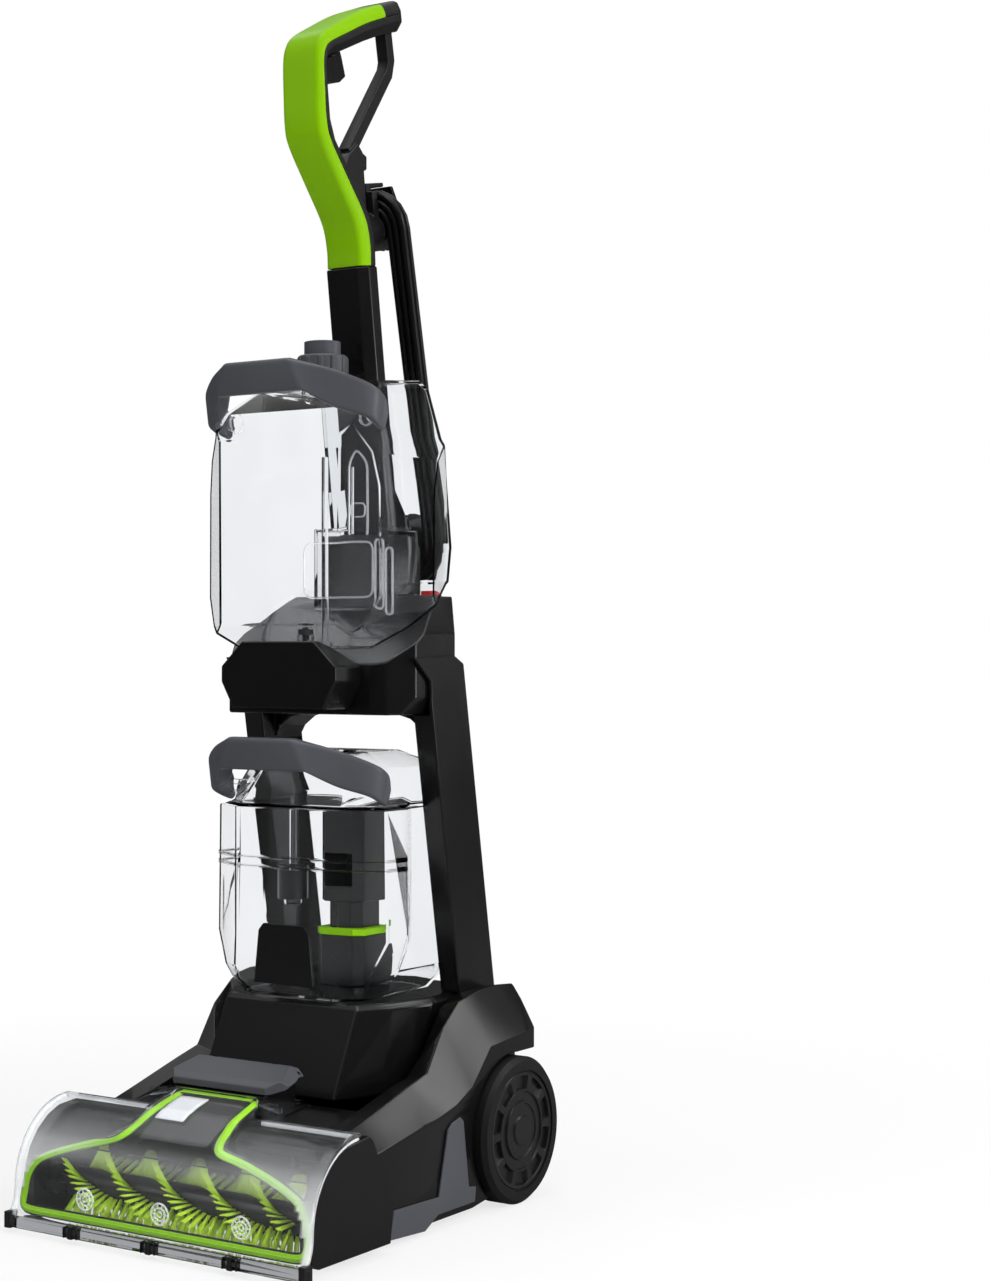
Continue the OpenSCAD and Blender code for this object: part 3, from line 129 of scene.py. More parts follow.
# %% World
world = bpy.data.worlds.new("studio")
bpy.context.scene.world = world
world.use_nodes = True
tree = world.node_tree
tree.nodes.clear()
path = add_node(tree, "LightPath")
height = add_node(tree, "SeparateXYZ", {0: add_node(tree, "TexCoord")["Generated"]})["Z"]
ceiling = add_node(tree, "MapRange", {"Value": height, "From Min": 0.4, "From Max": 0.95,
                                      "To Min": 0.07, "To Max": 1.1},
                   interpolation_type="SMOOTHSTEP")["Result"]
unmirrored = add_node(tree, "Math", {0: path["Glossy Depth"], 1: 0.5}, operation="LESS_THAN")[0]
seen_through = add_node(tree, "Math", {0: path["Is Transmission Ray"], 1: unmirrored},
                        operation="MULTIPLY")[0]
room_light = 0.3
strength = room_light
for ray, seen in ((path["Is Glossy Ray"], ceiling), (seen_through, 1.0),
                  (path["Is Camera Ray"], 1.0)):
    strength = add_node(tree, "Mix", {0: ray, 2: strength, 3: seen})[0]
white = add_node(tree, "Background", {"Color": (1, 1, 1, 1), "Strength": strength})
add_node(tree, "OutputWorld", {"Surface": white[0]})
print("world: white to the camera,", room_light, "to the machine")

# %% Floor
floor_half = 12.0
floor_mesh = bpy.data.meshes.new("floor")
floor_corners = [(-floor_half, -floor_half, 0), (floor_half, -floor_half, 0),
                 (floor_half, floor_half, 0), (-floor_half, floor_half, 0)]
floor_mesh.from_pydata(floor_corners, [], [(0, 1, 2, 3)])
floor = bpy.data.objects.new("floor", floor_mesh)
bpy.context.scene.collection.objects.link(floor)
paper = bpy.data.materials.new("floor_paper")
paper.use_nodes = True
tree = paper.node_tree
tree.nodes.clear()
path = add_node(tree, "LightPath")
tone = add_node(tree, "Mix", {0: path["Is Glossy Ray"], 6: (0.9, 0.9, 0.9, 1),
                              7: (0.22, 0.22, 0.22, 1)}, data_type="RGBA")[2]
matt = add_node(tree, "BsdfDiffuse", {"Color": tone})
away = add_node(tree, "TexCoord")["Object"]
far = add_node(tree, "VectorMath", {0: away}, operation="LENGTH")["Value"]
fade = add_node(tree, "MapRange", {"Value": far, "From Min": 0.35, "From Max": 1.3, "To Min": 0.74},
                interpolation_type="SMOOTHSTEP")["Result"]
looked_at = add_node(tree, "Math", {0: path["Is Camera Ray"], 1: path["Is Transmission Ray"]},
                     operation="MAXIMUM")[0]
share = add_node(tree, "Math", {0: looked_at, 1: fade}, operation="MULTIPLY")[0]
blend = add_node(tree, "MixShader", {0: share, 1: matt[0], 2: add_node(tree, "Emission")[0]})
add_node(tree, "OutputMaterial", {"Surface": blend[0]})
floor_mesh.materials.append(paper)
bpy.context.scene.view_settings.view_transform = "Standard"
print("floor:", 2 * floor_half, "m wide")

# %% [markdown]
# ## Finishes
# The real machine is black and dark grey plastic with lime parts. A flat colour would look
# painted, and image textures would have to be unwrapped on every piece. So every finish is a
# Principled shader whose roughness wanders a little and whose surface has a fine moulded grain.
# Both come from noise in Object coordinates, which stay on a piece when it moves.

# %% Moulded plastic
def moulded(name, colour, roughness, grain=0.04, grain_size=1800, wander=0.06, metal=0.0,
            cloud=0.15, shine=0.5):
    """Plastic or metal: noise moves its roughness by wander and its tone by cloud, and bumps it."""
    material = bpy.data.materials.new(name)
    material.use_nodes = True
    tree = material.node_tree
    place = add_node(tree, "TexCoord")["Object"]
    slow = add_node(tree, "TexNoise", {"Vector": place, "Scale": 14, "Detail": 3})["Fac"]
    fine = add_node(tree, "TexNoise", {"Vector": place, "Scale": grain_size, "Detail": 2})["Fac"]
    dark, light = [(*[min(1, c * (1 + way * cloud)) for c in colour], 1) for way in (-1, 1)]
    tone = add_node(tree, "Mix", {0: slow, 6: dark, 7: light}, data_type="RGBA")[2]
    level = add_node(tree, "MapRange", {"Value": slow, "To Min": roughness - wander,
                                        "To Max": roughness + wander})["Result"]
    grained = add_node(tree, "Bump", {"Strength": grain, "Distance": 0.2 * mm,
                                      "Height": fine})["Normal"]
    feed(tree, tree.nodes["Principled BSDF"], {
        "Metallic": metal, "Specular IOR Level": shine, "Base Color": tone, "Roughness": level,
        "Normal": grained})
    return material


print("moulded plastic is ready")

# %% [markdown]
# ## Clear plastic
# The tanks and the window are clear mouldings. A plain transparent shader would lose the bright
# and dark lines along their edges, so this one refracts, with a low index that keeps what stands
# behind in its place. To shadow rays it is plainly transparent, or what stands behind would stay
# dark.

# %% Clear plastic
def clear(name, tint, roughness=0.03, index=1.13, painted_sheen=0.0):
    """Clear plastic that bends light a little, and that lets the lamps' rays through to the inside.
    painted_sheen is the share of white painted into it as sheen: a number, or the name of an
    attribute that holds it."""
    material = moulded(name, tint, roughness, grain=0.01, grain_size=300, wander=0.015, cloud=0.03)
    tree = material.node_tree
    shader = tree.nodes["Principled BSDF"]
    # The share of soft white taken from transmission here is painted sheen and highlight.
    if isinstance(painted_sheen, str):
        share = add_node(tree, "Attribute", attribute_name=painted_sheen)["Fac"]
        rest = add_node(tree, "Math", {0: 1.0, 1: share}, operation="SUBTRACT")[0]
    else:
        rest = 1.0 - painted_sheen
    feed(tree, shader, {"IOR": index, "Transmission Weight": rest})
    through = add_node(tree, "BsdfTransparent", {"Color": (*tint, 1)})
    shadow = add_node(tree, "LightPath")["Is Shadow Ray"]
    either = add_node(tree, "MixShader", {0: shadow, 1: shader.outputs[0], 2: through[0]})
    feed(tree, tree.nodes["Material Output"], {"Surface": either[0]})
    return material


print("clear plastic is ready")

# %% Every finish
finish = {
    "black_plastic": moulded("black_plastic", (0.004, 0.004, 0.0042), 0.24, shine=0.4),
    "dark_plastic": moulded("dark_plastic", (0.008, 0.008, 0.0085), 0.3, shine=0.4),
    "grey_plastic": moulded("grey_plastic", (0.066, 0.068, 0.078), 0.4, grain=0.08, shine=0.3),
    "lime_plastic": moulded("lime_plastic", (0.19, 0.42, 0.0), 0.34, cloud=0.05, shine=0.1),
    "red_plastic": moulded("red_plastic", (0.6, 0.012, 0.015), 0.3, cloud=0.05),
    "clear_plastic": clear("clear_plastic", (0.93, 0.94, 0.95)),
    # The window's white comes from its per-point attribute, a painted reflection of the floor and a
    # painted band of light over the brush.
    "clear_window": clear("clear_window", (0.93, 0.94, 0.95), painted_sheen="painted_sheen"),
    # Painted highlight: clear plastic with a fixed share of white painted in, for the window's
    # beads and bosses and the duct's pane.
    "clear_painted_glint": clear("clear_painted_glint", (0.95, 0.96, 0.97), painted_sheen=0.3),
    # Painted highlight: a smaller share of white painted into the clear beads of the tank's ribs.
    "clear_painted_line": clear("clear_painted_line", (0.95, 0.96, 0.97), painted_sheen=0.12),
    "smoke_plastic": clear("smoke_plastic", (0.45, 0.46, 0.48)),
    # Lime bristles, their colour painted much lighter than the lime plastic's as painted light
    # shining through the tufts.
    "lime_bristle": moulded("lime_bristle", (0.6, 0.92, 0.04), 0.5, cloud=0.2),
    "rubber": moulded("rubber", (0.006, 0.006, 0.006), 0.55, shine=0.3, grain=0.12, grain_size=900),
    "steel": moulded("steel", (0.55, 0.55, 0.56), 0.3, metal=1.0, grain=0.05),
    "motor_can": moulded("motor_can", (0.12, 0.12, 0.13), 0.4, metal=0.6),
    "soft_tube": moulded("soft_tube", (0.45, 0.46, 0.47), 0.3),
    "lead_jacket": moulded("lead_jacket", (0.004, 0.004, 0.004), 0.35, shine=0.3, grain=0.1,
                           grain_size=700),
}
print(len(finish), "finishes")

# %% [markdown]
# ## Surfaces from numbers
# Most pieces we model again are moulded skins. They could be pushed and pulled from boxes by
# hand, but a skin is also a grid of points: one direction runs along the piece, the other round
# it. Working the whole grid out as one array is quick, and a change of a single formula reshapes
# the piece.

# %% Grids
def quads(rows, cols, wrap):
    """Faces of a rows x cols grid: corner (i, j) with its next row and column, which may wrap."""
    i, j = np.meshgrid(np.arange(rows - 1), np.arange(cols if wrap else cols - 1), indexing="ij")
    k = (j + 1) % cols
    low, high = i * cols, (i + 1) * cols
    return np.stack([low + j, low + k, high + k, high + j], -1).reshape(-1, 4)


def skin(name, points, wrap=True, ends=True):
    """Mesh through points[row, column] in metres: wrap closes each row, ends caps the outer two."""
    rows, cols = points.shape[:2]
    faces = quads(rows, cols, wrap).tolist()
    if ends:
        faces += [list(range(cols))[::-1], list(range((rows - 1) * cols, rows * cols))]
    mesh = bpy.data.meshes.new(name)
    mesh.from_pydata(points.reshape(-1, 3), [], faces)
    return outward(mesh) if ends and wrap else mesh


def outward(mesh):
    """The same mesh with its doubles merged and its faces turned outwards."""
    shape = bmesh.new()
    shape.from_mesh(mesh)
    bmesh.ops.remove_doubles(shape, verts=shape.verts, dist=1e-6)
    bmesh.ops.recalc_face_normals(shape, faces=shape.faces)
    shape.to_mesh(mesh)
    shape.free()
    return mesh


print("a 3 by 4 grid has", len(quads(3, 4, False)), "faces, a ring of it", len(quads(3, 4, True)))

# %% [markdown]
# ## Dressing the CAD pieces
# The record names a finish for every CAD piece. Moulded plastic has no sharp edge, and a piece
# with crisp CAD edges looks cut from card. Its own mesh has to stay as it is, though. So where
# its edges show, a merged copy of it gets a narrow bevel and takes its place.

# %% Finishes on the CAD nodes
slots = {part["node"]: part["material_slot"] for part in frame["record"]["subparts"]}
for node, piece in frame["nodes"].items():
    piece.data.materials.clear()
    piece.data.materials.append(finish[slots[node]])
body_of = {member: body for body, members in frame["record"]["behaviour"]["bodies"].items()
           for member in members}

# %% Pieces that ride a body
def show(mesh, name, body, slot, stands_for=(), sharp=35, look=None):
    """Puts a mesh in the scene as a piece that rides a body, smooth except at edges over sharp
    degrees. Its finish is the look, or else the slot's."""
    piece = bpy.data.objects.new(name, mesh)
    bpy.context.scene.collection.objects.link(piece)
    mesh.polygons.foreach_set("use_smooth", np.ones(len(mesh.polygons), bool))
    if sharp:
        mesh.set_sharp_from_angle(angle=radians(sharp))
    mesh.materials.clear()
    mesh.materials.append(finish[look or slot])
    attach(piece, body)
    if stands_for:
        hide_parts(*stands_for)
    return piece


print("pieces can be shown")

# %% Rounded copies
def rounded(node, width, angle=25):
    """Stands for a CAD node with a copy whose edges over angle are rounded to width, in mm."""
    shape = bmesh.new()
    shape.from_mesh(frame["nodes"][node].data)
    bmesh.ops.remove_doubles(shape, verts=shape.verts, dist=0.03 * mm)
    bmesh.ops.dissolve_limit(shape, angle_limit=radians(1.5), verts=shape.verts, edges=shape.edges)
    mesh = bpy.data.meshes.new(node + "_rounded")
    shape.to_mesh(mesh)
    shape.free()
    piece = show(mesh, node + "_rounded", body_of[node], slots[node], [node], sharp=angle)
    edge = piece.modifiers.new("rounded edges", "BEVEL")
    edge.width = width * mm
    edge.segments = 2
    edge.limit_method = "ANGLE"
    edge.angle_limit = radians(angle)
    edge.harden_normals = True
    edge.use_clamp_overlap = False


edge_widths = {
    "base_shell": 1.2, "side_cheeks": 1.2, "side_skirts": 0.6, "foot_duct": 0.8, "hose_door": 1.2,
    "motor_box": 1.5, "motor_cover": 2, "pillars": 1.5, "carry_housing": 1.8, "carry_handle": 2,
    "tube": 1.5, "handle_rear": 1, "lower_cord_hook": 0.8, "upper_cord_hook": 0.8, "trigger": 1,
    "power_switch": 0.8, "clean_tank": 1.2, "clean_tank_cap": 0.6, "dirty_tank": 1.2,
    "dirty_tank_lid": 1.2, "separator": 0.8, "separator_ring": 0.5, "badge_plate": 0.8,
    "nozzle_lip": 0.25,
}
for node, width in edge_widths.items():
    rounded(node, width)
print(len(edge_widths), "rounded copies")

# %% [markdown]
# ## The wheels
# Each wheel is a hard rim in a soft tyre, with a ring of shallow pockets in its face. The pockets
# could be cut one by one with booleans, which leave ragged edges behind. Here the rim is turned
# from one outline of radius and depth instead, and is shallower where the radius and the angle
# both lie in a pocket. So the whole rim is one function of two parameters, place on the outline
# and angle.

# %% Smooth step
def bump(value, low, high):
    """Smooth step 3t^2 - 2t^3 from 0 at low to 1 at high."""
    t = np.clip((value - low) / (high - low), 0, 1)
    return t * t * (3 - 2 * t)


print("half way up, the step is at", bump(0.5, 0, 1))

# %% Rims
wheel_x, wheel_y, wheel_z = 124.0, 142.0, 66.0
pockets, pocket_depth, pocket_low, pocket_high, pocket_slope = 10, 3.4, 36.9, 49.0, 0.6
front_outline = np.array([[0, 25.9], [12.6, 25.9], [13.4, 25.3], [14, 24.3], [24, 24.3],
                          [24.6, 25.4], [26, 25.4], [26.6, 23.6], [34.4, 23.6], [35, 25.2],
                          [36.6, 25.2], [36.9, 25], [37.5, 25], [43, 24.9], [48.4, 24.8],
                          [49, 24.8], [49.4, 25], [51.8, 25], [52.6, 24.2], [53.9, 24.2]])
back_outline = np.array([[53.9, 0.2], [50, 0.2], [50, 16], [10, 16], [10, 0.2], [4.4, 0.2],
                         [4.4, 19.4], [7.4, 19.4], [7.4, 22.4], [0, 22.4]])


def rim_points(way):
    """Points of a rim: radius and depth from the outline, turned about the axle. The depth is less
    where the radius lies in the pockets and the angle in the middle 2/3 of a pocket's share."""
    outline = np.concatenate([front_outline, back_outline])
    front = np.arange(len(outline)) < len(front_outline)
    r, flat_depth = outline.T
    inner = bump(r, pocket_low, pocket_low + pocket_slope)
    outer = bump(-r, -pocket_high, pocket_slope - pocket_high)
    angle = np.linspace(0, 2 * np.pi, 241)
    phase = np.abs((angle * pockets / (2 * np.pi)) % 1 - 0.5)
    window = bump(-phase, -0.36, -0.31)
    depth = flat_depth - pocket_depth * inner * outer * front * window[:, None]
    y, z = wheel_y + r * np.cos(angle)[:, None], wheel_z + r * np.sin(angle)[:, None]
    return mm * np.stack([way * (wheel_x + depth), y, z], -1)


for node, way in (("rim_left", -1), ("rim_right", 1)):
    rim_mesh = outward(skin(node + "_turned", rim_points(way), wrap=False, ends=False))
    show(rim_mesh, node + "_turned", body_of[node], "dark_plastic", [node], sharp=30)
print("rims:", len(rim_mesh.polygons), "faces each")

# %% [markdown]
# ## The handle
# The handle is two shells that meet along its sides, a lime front and a dark back. The back stays
# the CAD's piece. The front could be a straight bar bent along a curve, but its thickness and its
# lean change all the way. So a table gives a front and a back point at each station of one bent
# line, and every section is a six-cornered outline between them. The dark tip follows the same
# line.

# %% Rounded corners
def soft(corners, cut, steps=4):
    """Closed outlines with each corner p rounded: (1-t)^2 a + 2t(1-t) p + t^2 b, where a and b lie
    the cut before and after p, or 45% along a shorter side. corners is (..., corner, axis)."""
    before = np.roll(corners, 1, axis=-2) - corners
    after = np.roll(corners, -1, axis=-2) - corners
    cut = np.broadcast_to(np.asarray(cut, float), corners.shape[:-1])[..., None]
    length_a = np.linalg.norm(before, axis=-1, keepdims=True)
    length_b = np.linalg.norm(after, axis=-1, keepdims=True)
    a = corners + before / np.maximum(length_a, 1e-9) * np.minimum(cut, 0.45 * length_a)
    b = corners + after / np.maximum(length_b, 1e-9) * np.minimum(cut, 0.45 * length_b)
    t = np.linspace(0, 1, steps + 1)[:, None]
    a, p, b = (point[..., None, :] for point in (a, corners, b))
    bent = (1 - t) ** 2 * a + 2 * t * (1 - t) * p + t ** 2 * b
    return bent.reshape(*corners.shape[:-2], -1, corners.shape[-1])


print("a square rounded by", len(soft(np.array([[0, 0], [1, 0], [1, 1], [0, 1]]), 0.2)), "points")

# %% Flowing lines
def flowing(stations, count):
    """Catmull-Rom curve through stations along the first axis, at count even steps: with t the
    share of the way from q to r, 0.5 (2q + (r-p) t + (2p-5q+4r-s) t^2 + (3q-p-3r+s) t^3)."""
    stations = np.asarray(stations, float)
    place = np.linspace(0, len(stations) - 1, count)
    start = np.minimum(place.astype(int), len(stations) - 2)
    t = (place - start).reshape(-1, *[1] * (stations.ndim - 1))
    before, after = 2 * stations[:1] - stations[1:2], 2 * stations[-1:] - stations[-2:-1]
    padded = np.concatenate([before, stations, after])
    p, q, r, s = (padded[start + k] for k in range(4))
    square, cube = 2 * p - 5 * q + 4 * r - s, 3 * q - p - 3 * r + s
    return 0.5 * (2 * q + (r - p) * t + square * t ** 2 + cube * t ** 3)


print("half way through three stations:", flowing([0, 1, 4], 3)[1])

# %% Line of the handle
handle_line = mm * np.array([
    [[75.6, 848], [105, 851]], [[74, 866], [104, 872]], [[66, 888], [95, 897]],
    [[41, 918], [61, 933]], [[16, 948], [38, 957]], [[9, 965], [30, 974]], [[7, 996], [26, 1000]],
    [[7, 1026], [23, 1018]], [[11, 1040], [25, 1026]], [[20, 1050], [31, 1030]],
    [[45, 1064], [54, 1040]], [[76, 1080], [87, 1055]], [[106, 1092], [114, 1066]],
    [[130, 1101], [137, 1074]]])
grip_half = 21.5 * mm
split = 0.45
handle_rows, tip_row = 90, 83
print("handle line:", len(handle_line), "stations")

# %% Shells of the handle
def handle_skin(name, across, depth, cut, part):
    """Sections of the handle: for each corner (x, q), the point x across and the share q from the
    line's front point to its back point, flowing along that part of the line and rounded by cut."""
    line = flowing(handle_line, handle_rows)[part]
    q = np.asarray(depth)[None, :, None]
    flat = line[:, None, 0] * (1 - q) + line[:, None, 1] * q
    x = np.broadcast_to(np.asarray(across)[None, :, None], (*flat.shape[:2], 1))
    return skin(name, soft(np.concatenate([x, flat], axis=2), cut))


w, w_front = grip_half, grip_half - 3 * mm
front_corners = ([-w_front, w_front, w, w, -w, -w], [0, 0, 0.28, split, split, 0.28],
                 np.array([3.5, 3.5, 5, 0.4, 0.4, 5]) * mm)
front = handle_skin("handle_lime", *front_corners, slice(0, tip_row + 1))
show(front, "handle_lime", "upright", "lime_plastic", ["handle_front"])
tip = handle_skin("handle_tip", *front_corners, slice(tip_row, None))
show(tip, "handle_tip", "upright", "dark_plastic")
print("handle front:", len(front.polygons), "faces")

# %% [markdown]
# ## The bails
# Each tank has a grey swing handle, a flat front bar whose arms sweep back and down to the pins.
# It could be shaped from a box under a subdivision modifier, but its flat faces would go soft. So
# its four-cornered sections are placed at the pins, on the arms and at the ends of the bar. The
# arms flow through theirs, and the bar stays straight between its two.

# %% Sections of a bail
bail_half_rings = np.array([
    [[46, -63, 18], [41, -49, 19], [31, -52, 47], [35, -67, 47]],
    [[66, -39, 4], [57, -32, 6], [57, -37, 37], [67, -45, 38]],
    [[88, -19, -4], [81.4, -18, -4], [81.4, -18, 24], [91, -20, 26]],
    [[86, 3, -13], [81.4, 3, -12], [81.4, 3, 14], [91, 2, 17]],
    [[86, 8, -11], [81.4, 8, -11], [81.4, 8, 3], [90, 8, 5]]])


def bail_skin(name):
    """Both arms flow through their sections, and the bar joins them: left arm, bar, right arm."""
    arm = flowing(bail_half_rings, 40)
    bar_end = arm[:1] - [3, 1.2, 0]
    arm = np.concatenate([bar_end, arm])
    other = arm[::-1] * [-1, 1, 1]
    return skin(name, soft(np.concatenate([other, arm]), np.array([4, 3, 5, 6])))


def corners_of(mesh):
    """The places of a mesh's vertices, one row each."""
    place = np.empty(len(mesh.vertices) * 3)
    mesh.vertices.foreach_get("co", place)
    return place.reshape(-1, 3)


for name, body, node, pin in (("upper_bail_skin", "upper_bail", "clean_tank_bail", (0, 7, 703)),
                              ("lower_bail_skin", "lower_bail", "dirty_tank_bail", (0, 11.5, 375))):
    mesh = bail_skin(name)
    mesh.vertices.foreach_set("co", ((corners_of(mesh) + pin) * mm).ravel())
    show(mesh, name, body, "grey_plastic", [node], sharp=40)
print("two bails,", len(mesh.polygons), "faces each")

# %% [markdown]
# ## Ribs in the upper tank
# A blow-moulded tank is stiffened by folds in its wall: a column beside the pin, a box round the
# outlet and two narrow loops next to it. They could be pressed into the wall, but through clear
# plastic only their edges show, as bright lines. So we lay a thin bead along each edge, whose
# brightness is a painted highlight of white in its clear finish, and give the pickup tube a clear
# wall too.

# %% Round tubes
def tube_along(line, radius, sides=12):
    """Rings of a round tube: line + radius (cos a u + sin a v), with u and v square to the line."""
    way = np.gradient(line, axis=0)
    way /= np.linalg.norm(way, axis=1, keepdims=True)
    flat = np.cross(way, (0.0, 1.0, 0.0))
    side = np.cross(way, (1.0, 0.0, 0.0))
    u = np.where(np.linalg.norm(flat, axis=1, keepdims=True) > 0.3, flat, side)
    u /= np.linalg.norm(u, axis=1, keepdims=True)
    v = np.cross(way, u)
    angle = np.linspace(0, 2 * np.pi, sides, endpoint=False)
    radius = np.broadcast_to(np.asarray(radius, float), (len(line),))[:, None, None]
    c, s = np.cos(angle)[:, None], np.sin(angle)[:, None]
    return line[:, None] + radius * (c * u[:, None] + s * v[:, None])


print("tubes can be drawn along a line")

# %% Several meshes as one
def joined(name, meshes):
    """One mesh of several: their vertices end to end, and their faces counted on."""
    corners, faces, count = [], [], 0
    for mesh in meshes:
        corners.append(corners_of(mesh))
        faces += [[count + v for v in face.vertices] for face in mesh.polygons]
        count += len(mesh.vertices)
    whole = bpy.data.meshes.new(name)
    whole.from_pydata(np.concatenate(corners), [], faces)
    return whole


print("meshes can be joined")

# %% Beads and tubes of the tank
def wire(points, radius=0.9, cut=4.0, closed=True):
    """A round bead through corner points in millimetres, the corners rounded by cut."""
    corners = np.asarray(points, float)
    line = soft(corners, cut, 5)
    if closed:
        line = np.concatenate([line, line[:2]])
    else:
        line = line[3:-3]
    return skin("wire", mm * tube_along(line, radius, 8))


def post(x, y, low, high, radius):
    """An upright round rod of that radius from low to high, with a small foot at its lower end."""
    heights = np.array([low, low + 4.8, low + 5, high - 0.6, high])[:, None, None]
    reach = radius + np.array([3.5, 3.5, 0, 0, -0.5])[:, None, None]
    turn = np.linspace(0, 2 * np.pi, 24, endpoint=False)
    ring = np.stack([np.cos(turn), np.sin(turn), 0 * turn], -1)
    return skin("post", mm * ([x, y, 0] + reach * ring + heights * [0, 0, 1]))


def upright(x0, x1, y, z0, z1):
    """Corners of an upright rectangle at depth y."""
    return [[x0, y, z0], [x1, y, z0], [x1, y, z1], [x0, y, z1]]


print("beads and rods are ready")

# %% Ribs and pickup tube
column = [[34, 34, 598], [34, 34, 664], [44, 30, 676], [54, 34, 664], [54, 34, 598]]
tank_wires = [wire(upright(-14, 60, 34, 545, 594), cut=9),
              wire(upright(64, 72, 32, 535, 596)), wire(upright(76, 83, 30, 530, 588)),
              wire(column, cut=6, closed=False), wire(upright(36, 52, 33, 616, 628), 0.7, cut=5),
              wire([[44, 25, 600], [44, 25, 660]], 1.1, 1, closed=False)]
for side_x in (-1, 1):
    turn = np.linspace(0, 2 * np.pi, 25)
    disc = np.stack([np.full(25, side_x * 70.0), 7 + 9 * np.cos(turn), 703 + 9 * np.sin(turn)], -1)
    tank_wires.append(skin("disc", mm * tube_along(disc, 1.0, 8)))
# The beads' bright lines are painted highlight, from the white in their clear finish.
show(joined("tank_ribs", tank_wires), "tank_ribs", "upper_tank", "clear_plastic", sharp=0,
     look="clear_painted_line")
show(post(24, 12, 501.5, 669, 3.0), "pickup_clear", "upper_tank", "clear_plastic", ["pickup_tube"])
print("tank ribs:", len(tank_wires), "beads")

# %% [markdown]
# ## Clips of the lip
# The smoky lip at the nozzle's mouth is held by three clips, by thin ribs beside them and by a
# block at each end. Things this small need no curves of their own: boxes joined into one piece,
# all rounded at once by a bevel modifier, look the same from a step away.

# %% Clips of the lip
def block(x0, x1, y0, y1, z0, z1):
    """A box between opposite corners, in millimetres."""
    rows = [[[x0, y0, z], [x1, y0, z], [x1, y1, z], [x0, y1, z]] for z in (z0, z1)]
    return skin("block", mm * np.array(rows, float))


lip_front = -207.9
clips = [block(x - 2.6, x + 2.6, lip_front, -198.5, 4, 15) for x in (-84, 0, 84)]
clips += [block(x - 0.8, x + 0.8, lip_front, -201, 4.5, 14) for x in (-91, -77, -7, 7, 77, 91)]
clips += [block(x - 2.9, x + 2.9, lip_front, -196, 3.8, 18) for x in (-155, 155)]
clip = show(joined("lip_clips", clips), "lip_clips", body_of["nozzle_lip"], "dark_plastic",
            sharp=30)
edge = clip.modifiers.new("rounded edges", "BEVEL")
edge.width = 0.8 * mm
edge.segments = 2
print("lip clips:", len(clips))

# %% [markdown]
# ## The mains lead
# The lead leaves a rubber sleeve on the housing, climbs to the hooks and is wound there six
# times, three strands wide and two deep. A simulated rope would settle differently after every
# change of the machine, so its way is worked out. A turn follows the two hubs like a belt, and
# one strand after another steps over to its neighbour's place low on the right run, where the
# outer strand has left it.

# %% Frame of the winding
lead_d = 6.8 * mm
strand = lead_d + 0.02 * mm
hub_r, low_hub_r, hub_span = 18.3 * mm, 24.3 * mm, 291 * mm
wind_lean = radians(10.5)
wind_place = np.array([0, 116.4, 886]) * mm


def from_winding(local):
    """Place in the machine of (x, y, z) in the winding: x to the left, y up the winding, z to the
    rear. It is turned back about x by the lean, and moved to the winding's place."""
    x, y, z = np.moveaxis(np.asarray(local, float), -1, 0)
    c, s = np.cos(wind_lean), np.sin(wind_lean)
    return wind_place + np.stack([-x, z * c - y * s, z * s + y * c], -1)


print("winding leans", round(np.degrees(wind_lean), 1), "degrees")

# %% Turns of the lead
join, handover = 0.19, 0.045
lean = np.arcsin((low_hub_r - hub_r) / hub_span)
run_length = np.sqrt(hub_span ** 2 - (low_hub_r - hub_r) ** 2)
middle = 1.5 * strand
lengths = np.array([run_length, (hub_r + middle) * (np.pi - 2 * lean), run_length,
                    (low_hub_r + middle) * (np.pi + 2 * lean)])
knots = np.concatenate([[0], np.cumsum(lengths) / lengths.sum()])
turn = np.linspace(join, 6, 500)
share = turn % 1.0
share[-1] = 1.0
centre = np.interp(share, knots, [-hub_span, 0, 0, -hub_span, -hub_span])
hub = np.interp(share, knots, [low_hub_r, hub_r, hub_r, low_hub_r, low_hub_r])
angle = np.interp(share, knots, [lean, lean, np.pi - lean, np.pi - lean, 2 * np.pi + lean])
places = strand * np.array([[0.5, 0.5], [0.5, 1.5], [1.5, 1.5], [1.5, 0.5], [2.5, 0.5], [2.5, 1.5]])
out = np.full(turn.shape, places[0, 0])
deep = np.full(turn.shape, places[0, 1])
for k in range(5):
    start = 1.135 + 0.973 * k
    step = bump(turn, start, start + handover)
    out += (places[k + 1, 0] - places[k, 0]) * step
    deep += (places[k + 1, 1] - places[k, 1]) * step
leaving = bump(turn, 5.90, 6.02)
out += 1.2 * strand * leaving
deep -= 0.5 * strand * leaving
winding = np.stack([(hub + out) * np.cos(angle), centre + (hub + out) * np.sin(angle), deep], -1)
print("winding:", len(places), "strands")

# %% Whole route
lead_path = mm * np.array([
    [-46, 146, 577], [-46, 146, 590], [-45, 146, 604], [-43, 146, 618], [-40, 146, 632],
    [-36.5, 146.3, 646], [-33, 147.2, 660], [-29.6, 148.3, 674], [-27, 149.2, 688],
    [-26, 146.8, 702], [-25.4, 144.2, 716], [-25.2, 142, 728]])
hook_half, plug_half = 18 * mm, 14.1 * mm
plug_x, plug_y, plug_deep = hook_half + 3 * strand + plug_half, -240 * mm, strand
climb = flowing(np.concatenate([lead_path[:-1], from_winding(winding[8:12])]), 60)
tail = flowing(np.array([winding[-12], winding[-1], [plug_x - 2 * mm, plug_y - 22 * mm, plug_deep],
                         [plug_x, plug_y - 10 * mm, plug_deep], [plug_x, plug_y, plug_deep]]), 24)
route = np.concatenate([climb[:-1], from_winding(winding[12:-12]), from_winding(tail[1:])])

# %% The lead
lead = show(skin("mains_lead", tube_along(route, lead_d / 2, 10)), "mains_lead", "upright",
            "lead_jacket", ["cord_lead", "cord_winding"])
print("lead:", len(lead.data.polygons), "faces")

